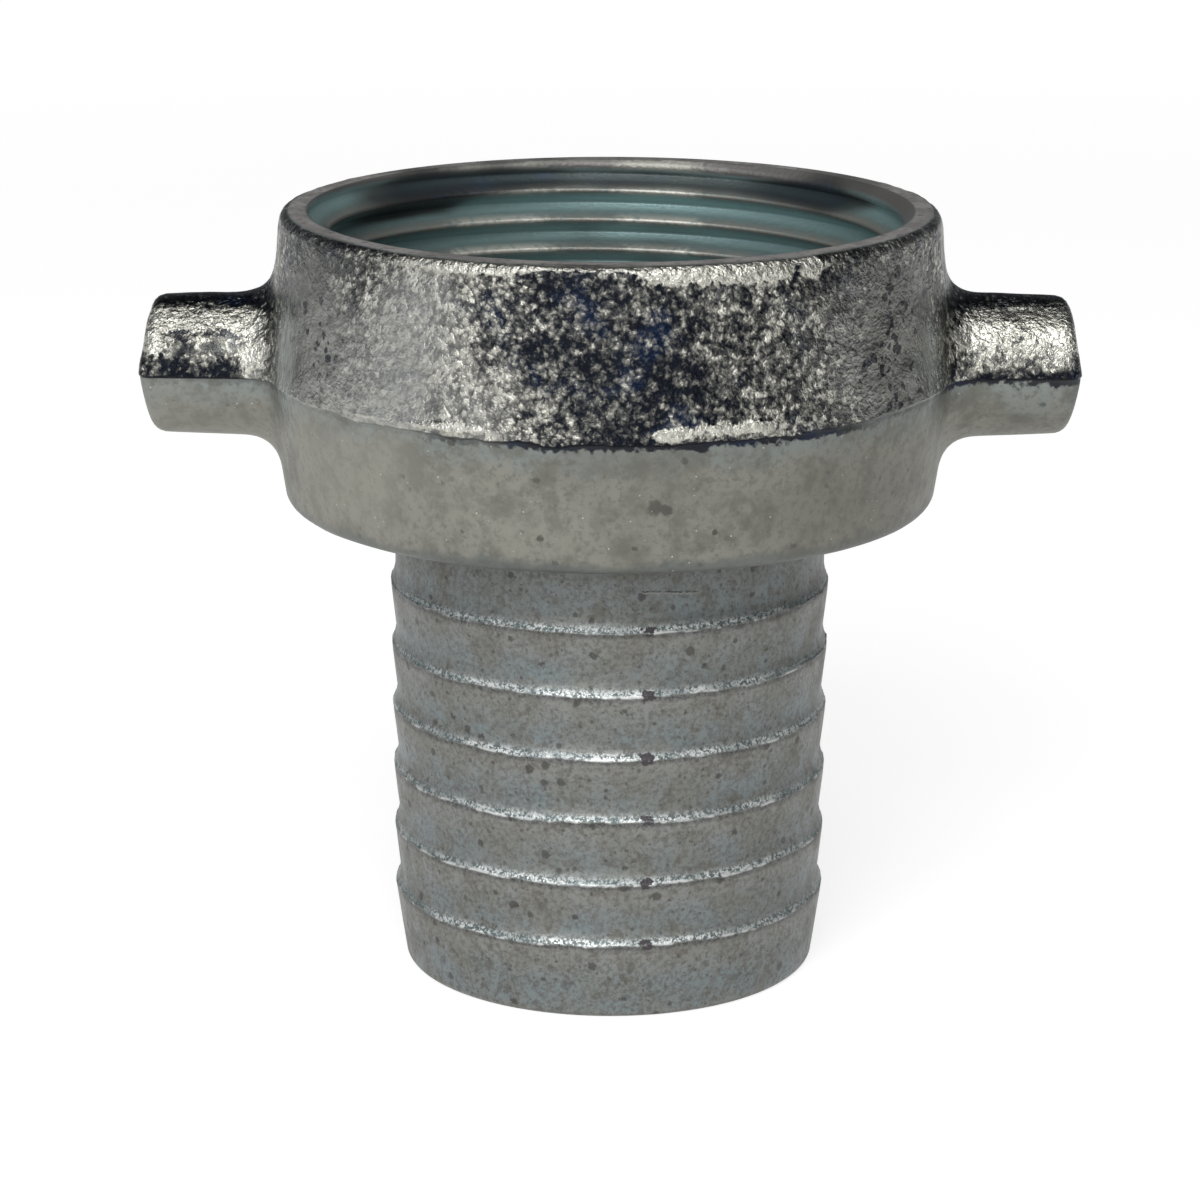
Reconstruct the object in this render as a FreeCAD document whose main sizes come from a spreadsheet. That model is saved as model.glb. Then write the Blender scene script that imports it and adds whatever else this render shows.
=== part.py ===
"""Female swivel hose coupling: a cast nut that turns on a barbed hose shank.

The shank stands on its open lower end, with the coupling's axis along +Z and
the origin at the centre of that end. The two lugs of the nut point along +X
and -X. All sizes are in millimetres, and angles in degrees.
"""
import FreeCAD, Part
import math
import os
import Sketcher

# Driving sizes: the name of the cell, its value, and what it measures.
SIZES = (
    ("shank_length", 41.2, "lower end of the shank to the top of its flange"),
    ("bore_radius", 13.0, "clear way through the shank"),
    ("end_radius", 14.75, "outside of the shank at its lower end"),
    ("end_bevel", 0.5, "bevel of the lower end"),
    ("barb_radius", 15.55, "crest of a barb"),
    ("low_barb_height", 5.5, "lower end to the crest of the lowest barb"),
    ("barb_count", 6, "barbs along the shank"),
    ("barb_pitch", 4.5, "crest to crest"),
    ("barb_shoulder", 1.1, "height of the face that holds the hose"),
    ("barb_depth", 0.36, "crest to root"),
    ("neck_radius", 15.25, "plain stretch between the barbs and the flange"),
    ("flange_thickness", 2.8, "flange that the nut pulls on"),
    ("flange_clearance", 0.35, "flange inside the crests of the thread"),
    ("running_gap", 0.3, "collar of the nut to the flange above it"),
    ("collar_clearance", 0.2, "barbs inside the collar of the nut"),
    ("collar_thickness", 4.2, "inward collar at the foot of the nut"),
    ("nut_height", 20.6, "foot of the nut to its rim"),
    ("rim_wall", 1.91, "metal outside the thread's root at the rim"),
    ("upper_draft", 6.6, "slope of the wall from the parting line up"),
    ("lower_draft", 8.84, "slope of the wall from the parting line down"),
    ("rim_bevel", 0.35, "bevel of the rim's outer edge"),
    ("foot_bevel", 0.85, "bevel of the foot's outer edge"),
    ("lug_height", 9.45, "foot of the nut to the parting line, where the lugs are centred"),
    ("lug_length", 8.47, "parting line of the wall to the end of a lug"),
    ("lug_root_radius", 5.25, "lug where it meets the parting line of the wall"),
    ("lug_end_radius", 4.85, "lug at its end"),
    ("lug_end_bevel", 0.8, "bevel of the lug's end"),
    ("lug_fillet", 2.0, "blend from lug to nut"),
    ("thread_major_radius", 21.08, "root of the nut's thread"),
    ("thread_depth", 1.53, "root to crest of the nut's thread, which is bored to the crest"),
    ("entry_margin", 0.02, "entry bevel outside the thread's root"),
    ("overrun", 0.6, "cut of the bore past each end of the nut"),
    ("relief_clearance", 0.22, "relief outside the thread's root"),
    ("gasket_thickness", 2.8, "rubber washer on the flange"),
    ("gasket_clearance", 0.8, "washer inside the relief"),
    ("gasket_headroom", 0.5, "top of the washer to the end of the thread"),
    ("gasket_overlap", 1.0, "washer's hole outside the bore"),
)

# How near its nominal place an edge must lie to be picked for a bevel.
CLOSE = 0.002
# The root of a lug is looked for within this share of its radius.
LUG_BAND = 0.1

# Formulas that more than one piece reads. Heights in the nut start at its foot.
BARBS_TOP = "(sizes.low_barb_height + (sizes.barb_count - 1) * sizes.barb_pitch)"
THREAD_CREST = "(sizes.thread_major_radius - sizes.thread_depth)"
FLANGE_RADIUS = f"({THREAD_CREST} - sizes.flange_clearance)"
FLANGE_FOOT = "(sizes.shank_length - sizes.flange_thickness)"
NUT_FOOT = f"({FLANGE_FOOT} - sizes.running_gap - sizes.collar_thickness)"
COLLAR_RADIUS = "(sizes.barb_radius + sizes.collar_clearance)"
RELIEF_RADIUS = "(sizes.thread_major_radius + sizes.relief_clearance)"
ENTRY_RADIUS = "(sizes.thread_major_radius + sizes.entry_margin)"
GASKET_FOOT = "(sizes.collar_thickness + sizes.running_gap + sizes.flange_thickness)"
THREAD_END = f"({GASKET_FOOT} + sizes.gasket_thickness + sizes.gasket_headroom)"
RIM_RADIUS = "(sizes.thread_major_radius + sizes.rim_wall)"
WIDEST_RADIUS = f"({RIM_RADIUS} + (sizes.nut_height - sizes.lug_height) * tan(sizes.upper_draft))"
FOOT_RADIUS = f"({WIDEST_RADIUS} - sizes.lug_height * tan(sizes.lower_draft))"
LUG_REACH = f"({WIDEST_RADIUS} + sizes.lug_length)"

doc = FreeCAD.newDocument("swivel_hose_coupling")


def fill_sheet():
    """Write the driving sizes into the document's sheet, one named cell each."""
    sheet = doc.addObject("Spreadsheet::Sheet", "sizes")
    for row, (name, value, meaning) in enumerate(SIZES, start=1):
        sheet.set(f"A{row}", name.replace("_", " "))
        sheet.set(f"B{row}", str(value))
        sheet.set(f"C{row}", meaning)
        sheet.setAlias(f"B{row}", name)
    doc.recompute()


def new_body(name, height="0"):
    """Make an empty sub-part, raised to the height that a formula gives."""
    body = doc.addObject("PartDesign::Body", name)
    body.Label = name
    body.setExpression("Placement.Base.z", height)
    return body


def new_sketch(body, name, role="XZ_Plane"):
    """Lay a sketch on a plane of the body: on XZ, radius runs across and height up."""
    sketch = body.newObject("Sketcher::SketchObject", name)
    plane = [item for item in body.Origin.OriginFeatures if item.Role == role][0]
    sketch.AttachmentSupport = (plane, [""])
    sketch.MapMode = "FlatFace"
    return sketch


def number(sketch, formula):
    """Work out a formula of the sheet as a plain number."""
    return float(sketch.evalExpression(formula))


def hold(sketch, kind, line, end, formula):
    """Hold one end of a line at the distance from an axis that a formula gives."""
    if formula == "0":
        axis = -2 if kind == "DistanceX" else -1
        sketch.addConstraint(Sketcher.Constraint("PointOnObject", line, end, axis))
        return
    index = sketch.addConstraint(Sketcher.Constraint(kind, -1, 1, line, end, number(sketch, formula)))
    sketch.setExpression(f"Constraints[{index}]", formula)


def outline(sketch, corners):
    """Draw a closed outline of straight lines, each corner a radius and a height."""
    spots = [FreeCAD.Vector(number(sketch, across), number(sketch, up), 0) for across, up in corners]
    for index, spot in enumerate(spots):
        sketch.addGeometry(Part.LineSegment(spot, spots[(index + 1) % len(spots)]), False)
    for index, (across, up) in enumerate(corners):
        following = (index + 1) % len(corners)
        sketch.addConstraint(Sketcher.Constraint("Coincident", index, 2, following, 1))
        hold(sketch, "DistanceX", index, 1, across)
        hold(sketch, "DistanceY", index, 1, up)


def turned(body, kind, name, sketch, axis="V_Axis"):
    """Revolve a sketch all the way round, to add metal or to cut it away."""
    feature = body.newObject(kind, name)
    feature.Profile = sketch
    feature.ReferenceAxis = (sketch, [axis])
    feature.Angle = 360
    doc.recompute()
    return feature


def rings(feature, radius, height):
    """Name the circular edges round the coupling's axis at this radius and height."""
    found = []
    for index, edge in enumerate(feature.Shape.Edges, start=1):
        if edge.Degenerated or not isinstance(edge.Curve, Part.Circle):
            continue
        centre = edge.Curve.Center
        off_axis = math.hypot(centre.x, centre.y)
        if max(abs(edge.Curve.Radius - radius), abs(centre.z - height), off_axis) < CLOSE:
            found.append(f"Edge{index}")
    return found


def lug_edges(feature, axis_height, low_reach, high_reach, radius):
    """Name the edges round the lug's own axis that lie between two reaches."""
    found = []
    for index, edge in enumerate(feature.Shape.Edges, start=1):
        if edge.Degenerated:
            continue
        spots = edge.discretize(5)
        reaches = [spot.x for spot in spots]
        radii = [math.hypot(spot.y, spot.z - axis_height) for spot in spots]
        on_reach = low_reach < min(reaches) and max(reaches) < high_reach
        off_round = max(abs(value - radius) for value in radii)
        if on_reach and off_round < LUG_BAND * radius:
            found.append(f"Edge{index}")
    return found


def eased(body, kind, name, base, edges, size):
    """Round or bevel the named edges by a size of the sheet."""
    if not edges:
        raise RuntimeError(f"{name} found no edge")
    feature = body.newObject(kind, name)
    feature.Base = (base, edges)
    target = "Radius" if kind == "PartDesign::Fillet" else "Size"
    feature.setExpression(target, f"sizes.{size}")
    doc.recompute()
    return feature


def cut_barbs(body, blank):
    """Cut the ring grooves that leave the barbs, one pitch apart.

    Each groove drops steeply from one crest and rises in a long ramp to the
    next, so a hose slides on from below and is held from coming off.
    """
    sketch = new_sketch(body, "barb_groove_profile")
    outside = "sizes.barb_radius + sizes.barb_depth"
    outline(sketch, (
        ("sizes.barb_radius", "sizes.low_barb_height"),
        ("sizes.barb_radius - sizes.barb_depth", "sizes.low_barb_height + sizes.barb_shoulder"),
        ("sizes.barb_radius", "sizes.low_barb_height + sizes.barb_pitch"),
        (outside, "sizes.low_barb_height + sizes.barb_pitch"),
        (outside, "sizes.low_barb_height"),
    ))
    groove = turned(body, "PartDesign::Groove", "barb_groove", sketch)
    pattern = body.newObject("PartDesign::LinearPattern", "barb_grooves")
    pattern.Originals = [groove]
    pattern.Direction = (sketch, ["V_Axis"])
    pattern.Mode = "Spacing"
    pattern.setExpression("Offset", "sizes.barb_pitch")
    pattern.setExpression("Occurrences", "sizes.barb_count - 1")
    body.Tip = pattern
    doc.recompute()
    if pattern.Shape.Volume >= blank.Shape.Volume:
        raise RuntimeError("the barb grooves cut nothing")
    return pattern


def make_shank():
    """Model the shank: a turned blank with barbs, a flange and a straight bore."""
    body = new_body("hose_shank")
    sketch = new_sketch(body, "shank_profile")
    outline(sketch, (
        ("sizes.bore_radius", "0"),
        ("sizes.end_radius", "0"),
        ("sizes.barb_radius", "sizes.low_barb_height"),
        ("sizes.barb_radius", BARBS_TOP),
        ("sizes.neck_radius", f"{BARBS_TOP} + sizes.barb_shoulder"),
        ("sizes.neck_radius", FLANGE_FOOT),
        (FLANGE_RADIUS, FLANGE_FOOT),
        (FLANGE_RADIUS, "sizes.shank_length"),
        ("sizes.bore_radius", "sizes.shank_length"),
    ))
    blank = turned(body, "PartDesign::Revolution", "shank_blank", sketch)
    barbed = cut_barbs(body, blank)

    edges = rings(barbed, number(sketch, "sizes.end_radius"), 0)
    eased(body, "PartDesign::Chamfer", "end_bevel", barbed, edges, "end_bevel")
    return body


def draw_lug(sketch):
    """Draw half the section of a lug: its axis first, then flat end, bevel and tapered side.

    The taper is set by the lug's radius at the nut's widest radius and at its
    end, and runs on inside the wall.
    """
    inside = RIM_RADIUS
    taper = "(sizes.lug_root_radius - sizes.lug_end_radius) / sizes.lug_length"
    inner_radius = f"(sizes.lug_root_radius + ({WIDEST_RADIUS} - {inside}) * {taper})"
    outline(sketch, (
        (inside, "sizes.lug_height"),
        (LUG_REACH, "sizes.lug_height"),
        (LUG_REACH, "sizes.lug_height + sizes.lug_end_radius - sizes.lug_end_bevel"),
        (f"{LUG_REACH} - sizes.lug_end_bevel", "sizes.lug_height + sizes.lug_end_radius"),
        (inside, f"sizes.lug_height + {inner_radius}"),
    ))


def make_wall(body):
    """Model the nut's wall: drafted both ways from the parting line, and bored through.

    The bore makes the collar, seat, relief, thread bore and entry bevel. Its cut
    runs past both ends of the wall, and the entry bevel runs on with it.
    """
    sketch = new_sketch(body, "nut_wall_profile")
    outline(sketch, (
        ("0", "0"),
        (FOOT_RADIUS, "0"),
        (WIDEST_RADIUS, "sizes.lug_height"),
        (RIM_RADIUS, "sizes.nut_height"),
        ("0", "sizes.nut_height"),
    ))
    wall = turned(body, "PartDesign::Revolution", "nut_wall", sketch)
    sketch = new_sketch(body, "nut_bore_profile")
    outline(sketch, (
        ("0", "-sizes.overrun"),
        (COLLAR_RADIUS, "-sizes.overrun"),
        (COLLAR_RADIUS, "sizes.collar_thickness"),
        (RELIEF_RADIUS, "sizes.collar_thickness"),
        (RELIEF_RADIUS, THREAD_END),
        (THREAD_CREST, THREAD_END),
        (THREAD_CREST, f"sizes.nut_height - {ENTRY_RADIUS} + {THREAD_CREST}"),
        (f"{ENTRY_RADIUS} + sizes.overrun", "sizes.nut_height + sizes.overrun"),
        ("0", "sizes.nut_height + sizes.overrun"),
    ))
    bored = turned(body, "PartDesign::Groove", "nut_bore", sketch)
    if bored.Shape.Volume >= wall.Shape.Volume:
        raise RuntimeError("the bore cut nothing")


def add_lugs(body):
    """Add one lug, blend it into the wall, and make the nut of two such halves.

    The half without a lug is cut away, and the half with one is repeated half a
    turn on.
    """
    sketch = new_sketch(body, "lug_profile")
    draw_lug(sketch)
    lug = turned(body, "PartDesign::Revolution", "lug", sketch, "Edge1")
    height = number(sketch, "sizes.lug_height")
    root = number(sketch, "sizes.lug_root_radius")
    widest = number(sketch, WIDEST_RADIUS)
    edges = lug_edges(lug, height, widest - root, widest, root)
    blended = eased(body, "PartDesign::Fillet", "lug_blend", lug, edges, "lug_fillet")

    sketch = new_sketch(body, "bare_half_profile", "YZ_Plane")
    across = f"({WIDEST_RADIUS} + sizes.overrun)"
    outline(sketch, (
        (f"-{across}", "-sizes.overrun"),
        (across, "-sizes.overrun"),
        (across, "sizes.nut_height + sizes.overrun"),
        (f"-{across}", "sizes.nut_height + sizes.overrun"),
    ))
    half = body.newObject("PartDesign::Pocket", "lug_half")
    half.Profile = sketch
    half.setExpression("Length", across)
    doc.recompute()

    both = body.newObject("PartDesign::PolarPattern", "both_halves")
    both.TransformMode = "Whole shape"
    both.Axis = (body.getObject("nut_wall_profile"), ["V_Axis"])
    both.Angle = 360
    both.Occurrences = 2
    body.Tip = both
    doc.recompute()
    if both.Shape.Volume <= blended.Shape.Volume:
        raise RuntimeError("the second half added no lug")
    return both


def make_nut():
    """Model the swivel nut, hung by its collar under the shank's flange."""
    body = new_body("swivel_nut", NUT_FOOT)
    make_wall(body)
    shape = add_lugs(body)
    sketch = body.getObject("nut_wall_profile")
    edges = rings(shape, number(sketch, RIM_RADIUS), number(sketch, "sizes.nut_height"))
    shape = eased(body, "PartDesign::Chamfer", "rim_bevel", shape, edges, "rim_bevel")
    edges = rings(shape, number(sketch, FOOT_RADIUS), 0)
    eased(body, "PartDesign::Chamfer", "foot_bevel", shape, edges, "foot_bevel")
    return body


def make_gasket():
    """Model the flat rubber washer that lies on the shank's flange."""
    body = new_body("gasket", "sizes.shank_length")
    sketch = new_sketch(body, "gasket_profile", "XY_Plane")
    outside = f"{RELIEF_RADIUS} - sizes.gasket_clearance"
    hole = "sizes.bore_radius + sizes.gasket_overlap"
    for formula in (outside, hole):
        radius = number(sketch, formula)
        circle = Part.Circle(FreeCAD.Vector(0, 0, 0), FreeCAD.Vector(0, 0, 1), radius)
        ring = sketch.addGeometry(circle, False)
        sketch.addConstraint(Sketcher.Constraint("Coincident", ring, 3, -1, 1))
        index = sketch.addConstraint(Sketcher.Constraint("Radius", ring, radius))
        sketch.setExpression(f"Constraints[{index}]", formula)
    washer = body.newObject("PartDesign::Pad", "washer")
    washer.Profile = sketch
    washer.setExpression("Length", "sizes.gasket_thickness")
    doc.recompute()
    return body


def check(bodies):
    """Stop with a plain message if an object failed or a piece isn't one good solid."""
    for item in doc.Objects:
        if "Invalid" in item.State or "Error" in item.State:
            raise RuntimeError(f"{item.Label} failed: {item.State}")
    for body in bodies:
        shape = body.Shape
        if shape.isNull() or not shape.isValid() or len(shape.Solids) != 1:
            raise RuntimeError(f"{body.Label} is not one valid solid")


fill_sheet()
pieces = [make_shank(), make_nut(), make_gasket()]
doc.recompute()
check(pieces)
os.makedirs("parts", exist_ok=True)
for piece in pieces:
    piece.Shape.exportStep(f"parts/{piece.Label}.step")
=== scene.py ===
"""Looks of a female swivel hose coupling: plated cast nut, barbed shank and rubber washer.

Each piece is one closed surface worked out with numpy from a few sizes, in
metres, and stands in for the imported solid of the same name.
"""

import math
from types import SimpleNamespace

import bpy
import numpy as np
from bpy.props import FloatProperty, FloatVectorProperty, IntProperty, PointerProperty
from bpy.types import Operator, Panel, PropertyGroup
from mathutils import Matrix, Vector


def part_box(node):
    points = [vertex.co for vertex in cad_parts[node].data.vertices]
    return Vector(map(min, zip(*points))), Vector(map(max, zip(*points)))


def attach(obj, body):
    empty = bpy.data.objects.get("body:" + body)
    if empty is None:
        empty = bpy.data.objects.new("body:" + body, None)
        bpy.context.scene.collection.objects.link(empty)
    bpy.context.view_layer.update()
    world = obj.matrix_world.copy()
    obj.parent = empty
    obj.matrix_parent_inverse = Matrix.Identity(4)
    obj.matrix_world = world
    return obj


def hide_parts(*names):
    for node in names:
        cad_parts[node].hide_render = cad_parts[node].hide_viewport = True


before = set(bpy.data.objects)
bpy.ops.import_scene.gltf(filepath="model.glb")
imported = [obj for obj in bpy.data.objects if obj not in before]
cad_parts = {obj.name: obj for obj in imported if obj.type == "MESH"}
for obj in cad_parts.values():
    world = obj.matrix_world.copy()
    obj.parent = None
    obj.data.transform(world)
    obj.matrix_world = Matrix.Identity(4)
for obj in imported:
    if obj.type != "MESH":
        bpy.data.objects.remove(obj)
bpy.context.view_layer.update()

bl_info = {
    "name": "Swivel hose coupling",
    "version": (1, 0, 0),
    "blender": (4, 5, 0),
    "location": "3D View > Sidebar > Coupling",
    "description": "Builds the looks of a female swivel hose coupling round its packed solids",
    "category": "Object",
}

MM = 0.001
FULL_TURN = 2 * math.pi

NUT_FOOT, NUT_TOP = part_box("swivel_nut")
SHANK_FOOT, SHANK_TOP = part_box("hose_shank")
WASHER_FOOT, WASHER_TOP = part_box("gasket")

# Where the nut's wall turns into its lugs and into its mouth, from the axis in millimetres.
LUG_START, MOUTH_START = 24.2, 22.1

# What the shank's rows that belong to no barb get as their height above a crest, in millimetres.
NO_BARB = 20.0

# Patches on the nut: angle round it in degrees with the front at -90, height above the
# parting line in millimetres, the reach of each and the strength.
RIM_DENT = ((-58.6, 10.7, 1.3, 0.8, 1.0),)
SCRAPED_ROOTS = ((-158, 2.2, 5, 3.4, 1.3), (-24.5, 2.4, 4.2, 3.2, 0.8))
BEAD_LUMPS = (
    (-116, 0.3, 6, 0.3, 0.8), (-98, 0.25, 8, 0.22, 0.5), (-81, 0.35, 3, 0.6, 1.0), (-73, 0.5, 4, 0.55, 1.0),
    (-66, 0.55, 4, 0.5, 0.9), (-57, 0.5, 4, 0.35, 0.5), (-132, 0.3, 4, 0.25, 0.4),
)
SMOOTH_STRETCHES = ((-33, 4, 12, 6.5, 1.0), (-48, 4.5, 12, 5, 0.3), (-149, 4.5, 13, 5.2, 1.0))
# Bright strips along the rim's edge in front, partly wear and partly a painted highlight, and a faint
# painted highlight low on the left.
WORN_AND_HIGHLIT_OUTSIDE = (
    (-114, 10.8, 12, 0.55, 1.1), (-93, 11.1, 10, 0.3, 1.0), (-79, 10.6, 7, 0.65, 1.3),
    (-65.5, 10.6, 6.5, 0.75, 1.8), (-55.3, 10.5, 2.0, 0.7, 1.7), (-119, 2.5, 10, 4, 0.2),
)
# Painted reflections on the thread's crests and on the entry bevel, in stretches round the mouth.
PAINTED_GLINTS_INSIDE = ((114, 6, 13, 30, 1.0), (79, 6, 10, 30, 0.9), (-60, 6, 30, 30, 0.6))
# In front: above the parting line partly pitting and partly a painted dark reflection, darkest in the middle
# and lighter low on the left; the last three, below it, paint the left and the left lug lighter and the
# right darker.
DARK_OUTSIDE = (
    (-86, 5, 26, 9, 0.18), (-66, 7, 12, 4, 0.08), (-92, 9.7, 8, 1.4, 0.2), (-122, 4, 16, 6, -0.24),
    (-148, 9.5, 14, 2, 0.28), (-150, 4, 16, 5.5, -0.18), (-45, 9.5, 14, 1.5, 0.22), (-36, 4, 15, 5, -0.06),
    (-138, -5, 28, 5, -0.3), (-42, -5, 20, 5, 0.3), (-176, -3, 9, 3.5, -0.3),
)
DARK_INSIDE = (
    (138, 9.8, 18, 1.2, 0.4), (44, 9.8, 16, 1.2, 0.4), (138, 8.3, 18, 0.6, 0.4), (118, 9.9, 18, 0.6, 0.4),
    (88, 9.75, 20, 0.6, 0.32), (54, 9.55, 20, 0.6, 0.3), (75, 11.2, 40, 0.4, 0.14),
)

# Spots on the nut: place and reach in millimetres.
RIM_NICK = (
    (12.3, -19.4, 54.3, 0.34), (12.2, -19.5, 53.9, 0.34), (12.1, -19.6, 53.5, 0.34),
    (11.9, -19.8, 53.1, 0.34), (11.8, -20.0, 52.7, 0.3),
)
STAINS = (
    (2.9, -23.2, 38.7, 0.62), (3.6, -23.1, 38.5, 0.5), (4.8, -23.4, 41.9, 0.3),
    (6.8, -22.1, 36.8, 0.25), (-4.6, -22.6, 36.5, 0.28), (1.6, -22.9, 35.9, 0.22),
    (-10.4, -21.6, 42.8, 0.4), (-13.7, -19.2, 39.8, 0.25),
)


def length(label, meaning, millimetres):
    """Describe a length in the sidebar, with its default given in millimetres."""
    return FloatProperty(
        name=label, description=meaning, default=millimetres * MM, min=0, unit="LENGTH", precision=5
    )


def colour(label, meaning, default):
    """Describe a colour in the sidebar."""
    return FloatVectorProperty(
        name=label, description=meaning, default=default, min=0, max=1, size=3, subtype="COLOR"
    )


class NutLooks(PropertyGroup):
    """Sizes and colours of the swivel nut."""

    foot_height: length("Foot height", "Foot of the nut above the floor", NUT_FOOT.z / MM)
    rim_height: length("Rim height", "Rim of the nut above the floor", NUT_TOP.z / MM)
    rim_radius: length("Rim radius", "Outside of the nut at its rim", 22.96)
    widest_radius: length("Widest radius", "Outside of the nut at the mould's parting line", 24.18)
    foot_radius: length("Foot radius", "Outside of the nut at its foot", 22.76)
    rim_rounding: length("Rim rounding", "Rounding of the rim's outer edge", 0.8)
    foot_rounding: length("Foot rounding", "Rounding of the foot's outer edge", 1.1)
    parting_height: length("Parting height", "Foot of the nut to the lugs' own axis", 9.45)
    parting_bow: length("Parting bow", "Drop of the parting line midway between the lugs", 0.35)
    parting_step: length("Parting step", "Upper mould half beyond the lower at the parting line", 0.1)
    lug_reach: length("Lug reach", "Coupling's axis to the end of a lug", NUT_TOP.x / MM - 0.04)
    lug_root_radius: length("Lug root radius", "Lug at the parting line of the wall", 5.16)
    lug_end_radius: length("Lug end radius", "Lug at its end", 4.85)
    lug_fillet: length("Lug fillet", "Blend from a lug into the wall", 2.3)
    lug_corner: length("Lug corner", "Rounding of a lug's end", 1.05)
    lug_end_draft: FloatProperty(
        name="Lug end draft", description="Slope of a lug's end away from the parting line",
        default=math.radians(8), min=0, max=math.radians(30), subtype="ANGLE",
    )
    collar_radius: length("Collar radius", "Bore of the inward collar", 15.78)
    collar_thickness: length("Collar thickness", "Height of the inward collar", 4.2)
    relief_radius: length("Relief radius", "Recess below the thread", 21.25)
    thread_length: length("Thread length", "Rim down to the recess", 10.0)
    thread_root: length("Thread root", "Radius at the bottom of the thread's groove", 21.05)
    thread_crest: length("Thread crest", "Radius at the thread's crest", 19.56)
    thread_pitch: length("Thread pitch", "Crest to crest", 2.2087)
    unevenness: length("Unevenness", "Depth of the casting's lumps above the parting line", 0.07)
    # Bright and cream also paint light: the grains' lit tops, glints, and highlights on the rim's edge, the
    # bead, the lugs and inside the mouth.
    bright: colour("Bright plating", "Grains of the hammered plating", (0.5, 0.49, 0.43))
    cream: colour("Worn plating", "Bright edges of the casting and the thread's crests", (0.62, 0.61, 0.545))
    dark: colour("Dark plating", "Shaded gaps between the grains", (0.01, 0.012, 0.017))
    navy: colour("Navy plating", "Bluest of the shaded gaps", (0.009, 0.016, 0.036))
    calm: colour("Smooth plating", "Smooth grey stretches above the parting line", (0.33, 0.33, 0.308))
    gap: colour("Pale gaps", "Gaps between the grains where the plating is pale", (0.25, 0.25, 0.235))
    matte: colour("Matte plating", "Smooth plating below the parting line", (0.258, 0.254, 0.218))
    stain: colour("Stain", "Dark specks and stains of the matte plating", (0.06, 0.058, 0.05))
    machined: colour("Machined plating", "Thread's flanks and seat", (0.185, 0.27, 0.27))
    rim: colour("Rim", "Flat land and entry bevel of the rim", (0.44, 0.425, 0.405))


class ShankLooks(PropertyGroup):
    """Sizes and colours of the hose shank."""

    height: length("Height", "Shank from its lower end to the top of its flange", SHANK_TOP.z / MM)
    bore_radius: length("Bore radius", "Clear way through the shank", 13.0)
    end_radius: length("End radius", "Outside of the shank at its lower end", 14.72)
    low_barb_radius: length("Lowest barb radius", "Crest of the lowest barb", 15.45)
    top_barb_radius: length("Highest barb radius", "Crest of the highest barb", 15.6)
    low_barb_height: length("Lowest barb height", "Lower end to the crest of the lowest barb", 5.5)
    barb_count: IntProperty(name="Barbs", description="Barbs along the shank", default=6, min=2, max=12)
    barb_pitch: length("Barb pitch", "Crest to crest", 4.5)
    barb_shoulder: length("Barb shoulder", "Height of the face that holds the hose", 1.1)
    barb_depth: length("Barb depth", "Crest to root", 0.36)
    neck_radius: length("Neck radius", "Plain stretch above the barbs", 15.25)
    flange_radius: length("Flange radius", "Flange inside the nut", SHANK_TOP.x / MM - 0.02)
    flange_thickness: length("Flange thickness", "Flange that the nut pulls on", 2.8)
    plating: colour("Plating", "Dull plating on the ramps", (0.265, 0.27, 0.256))
    blue: colour("Blue plating", "Plating near the barbs' shoulders", (0.205, 0.245, 0.255))
    teal: colour("Teal plating", "Plating on the barbs' shoulders", (0.08, 0.125, 0.135))
    # The edge colour paints the crests' wear with a highlight, and the shoulders' sparkles of light.
    edge: colour("Worn edge", "Bright crests of the barbs", (0.72, 0.74, 0.72))


class WasherLooks(PropertyGroup):
    """Sizes and colour of the rubber washer."""

    foot_height: length("Foot height", "Lower face of the washer above the floor", WASHER_FOOT.z / MM)
    top_height: length("Top height", "Upper face of the washer above the floor", WASHER_TOP.z / MM)
    outer_radius: length("Outer radius", "Outside of the washer", WASHER_TOP.x / MM - 0.02)
    hole_radius: length("Hole radius", "Hole of the washer", 14.02)
    rounding: length("Rounding", "Rounding of the washer's edges", 0.25)
    rubber: colour("Rubber", "Moulded rubber", (0.018, 0.018, 0.019))


class StageLooks(PropertyGroup):
    """Camera, lamps and surroundings."""

    lens: FloatProperty(
        name="Lens", description="Focal length on a 36 mm frame", default=120.84, min=10, unit="CAMERA"
    )
    distance: length("Camera distance", "Camera to the point that it looks at", 287.59)
    elevation: FloatProperty(
        name="Camera elevation", description="Camera above the horizon",
        default=math.radians(15.245), subtype="ANGLE",
    )
    roll: FloatProperty(
        name="Camera roll", description="Clockwise turn of the picture",
        default=math.radians(0.114), subtype="ANGLE",
    )
    aim_across: FloatProperty(
        name="Aim across", description="Point that the camera looks at, along X",
        default=-0.685 * MM, unit="LENGTH", precision=5,
    )
    aim_height: length("Aim height", "Point that the camera looks at, above the floor", 26.16)
    floor: colour("Floor", "Floor and backdrop", (0.4, 0.4, 0.4))


def smooth_step(value, low, high):
    """Rise from 0 at low to 1 at high along 3t^2 - 2t^3, and stay flat outside."""
    t = np.clip((value - low) / (high - low), 0, 1)
    return t * t * (3 - 2 * t)


def bell(value, centre, width):
    """Bell curve: 1 at the centre, and down to 1/e at a width from it."""
    return np.exp(-((value - centre) / width) ** 2)


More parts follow.
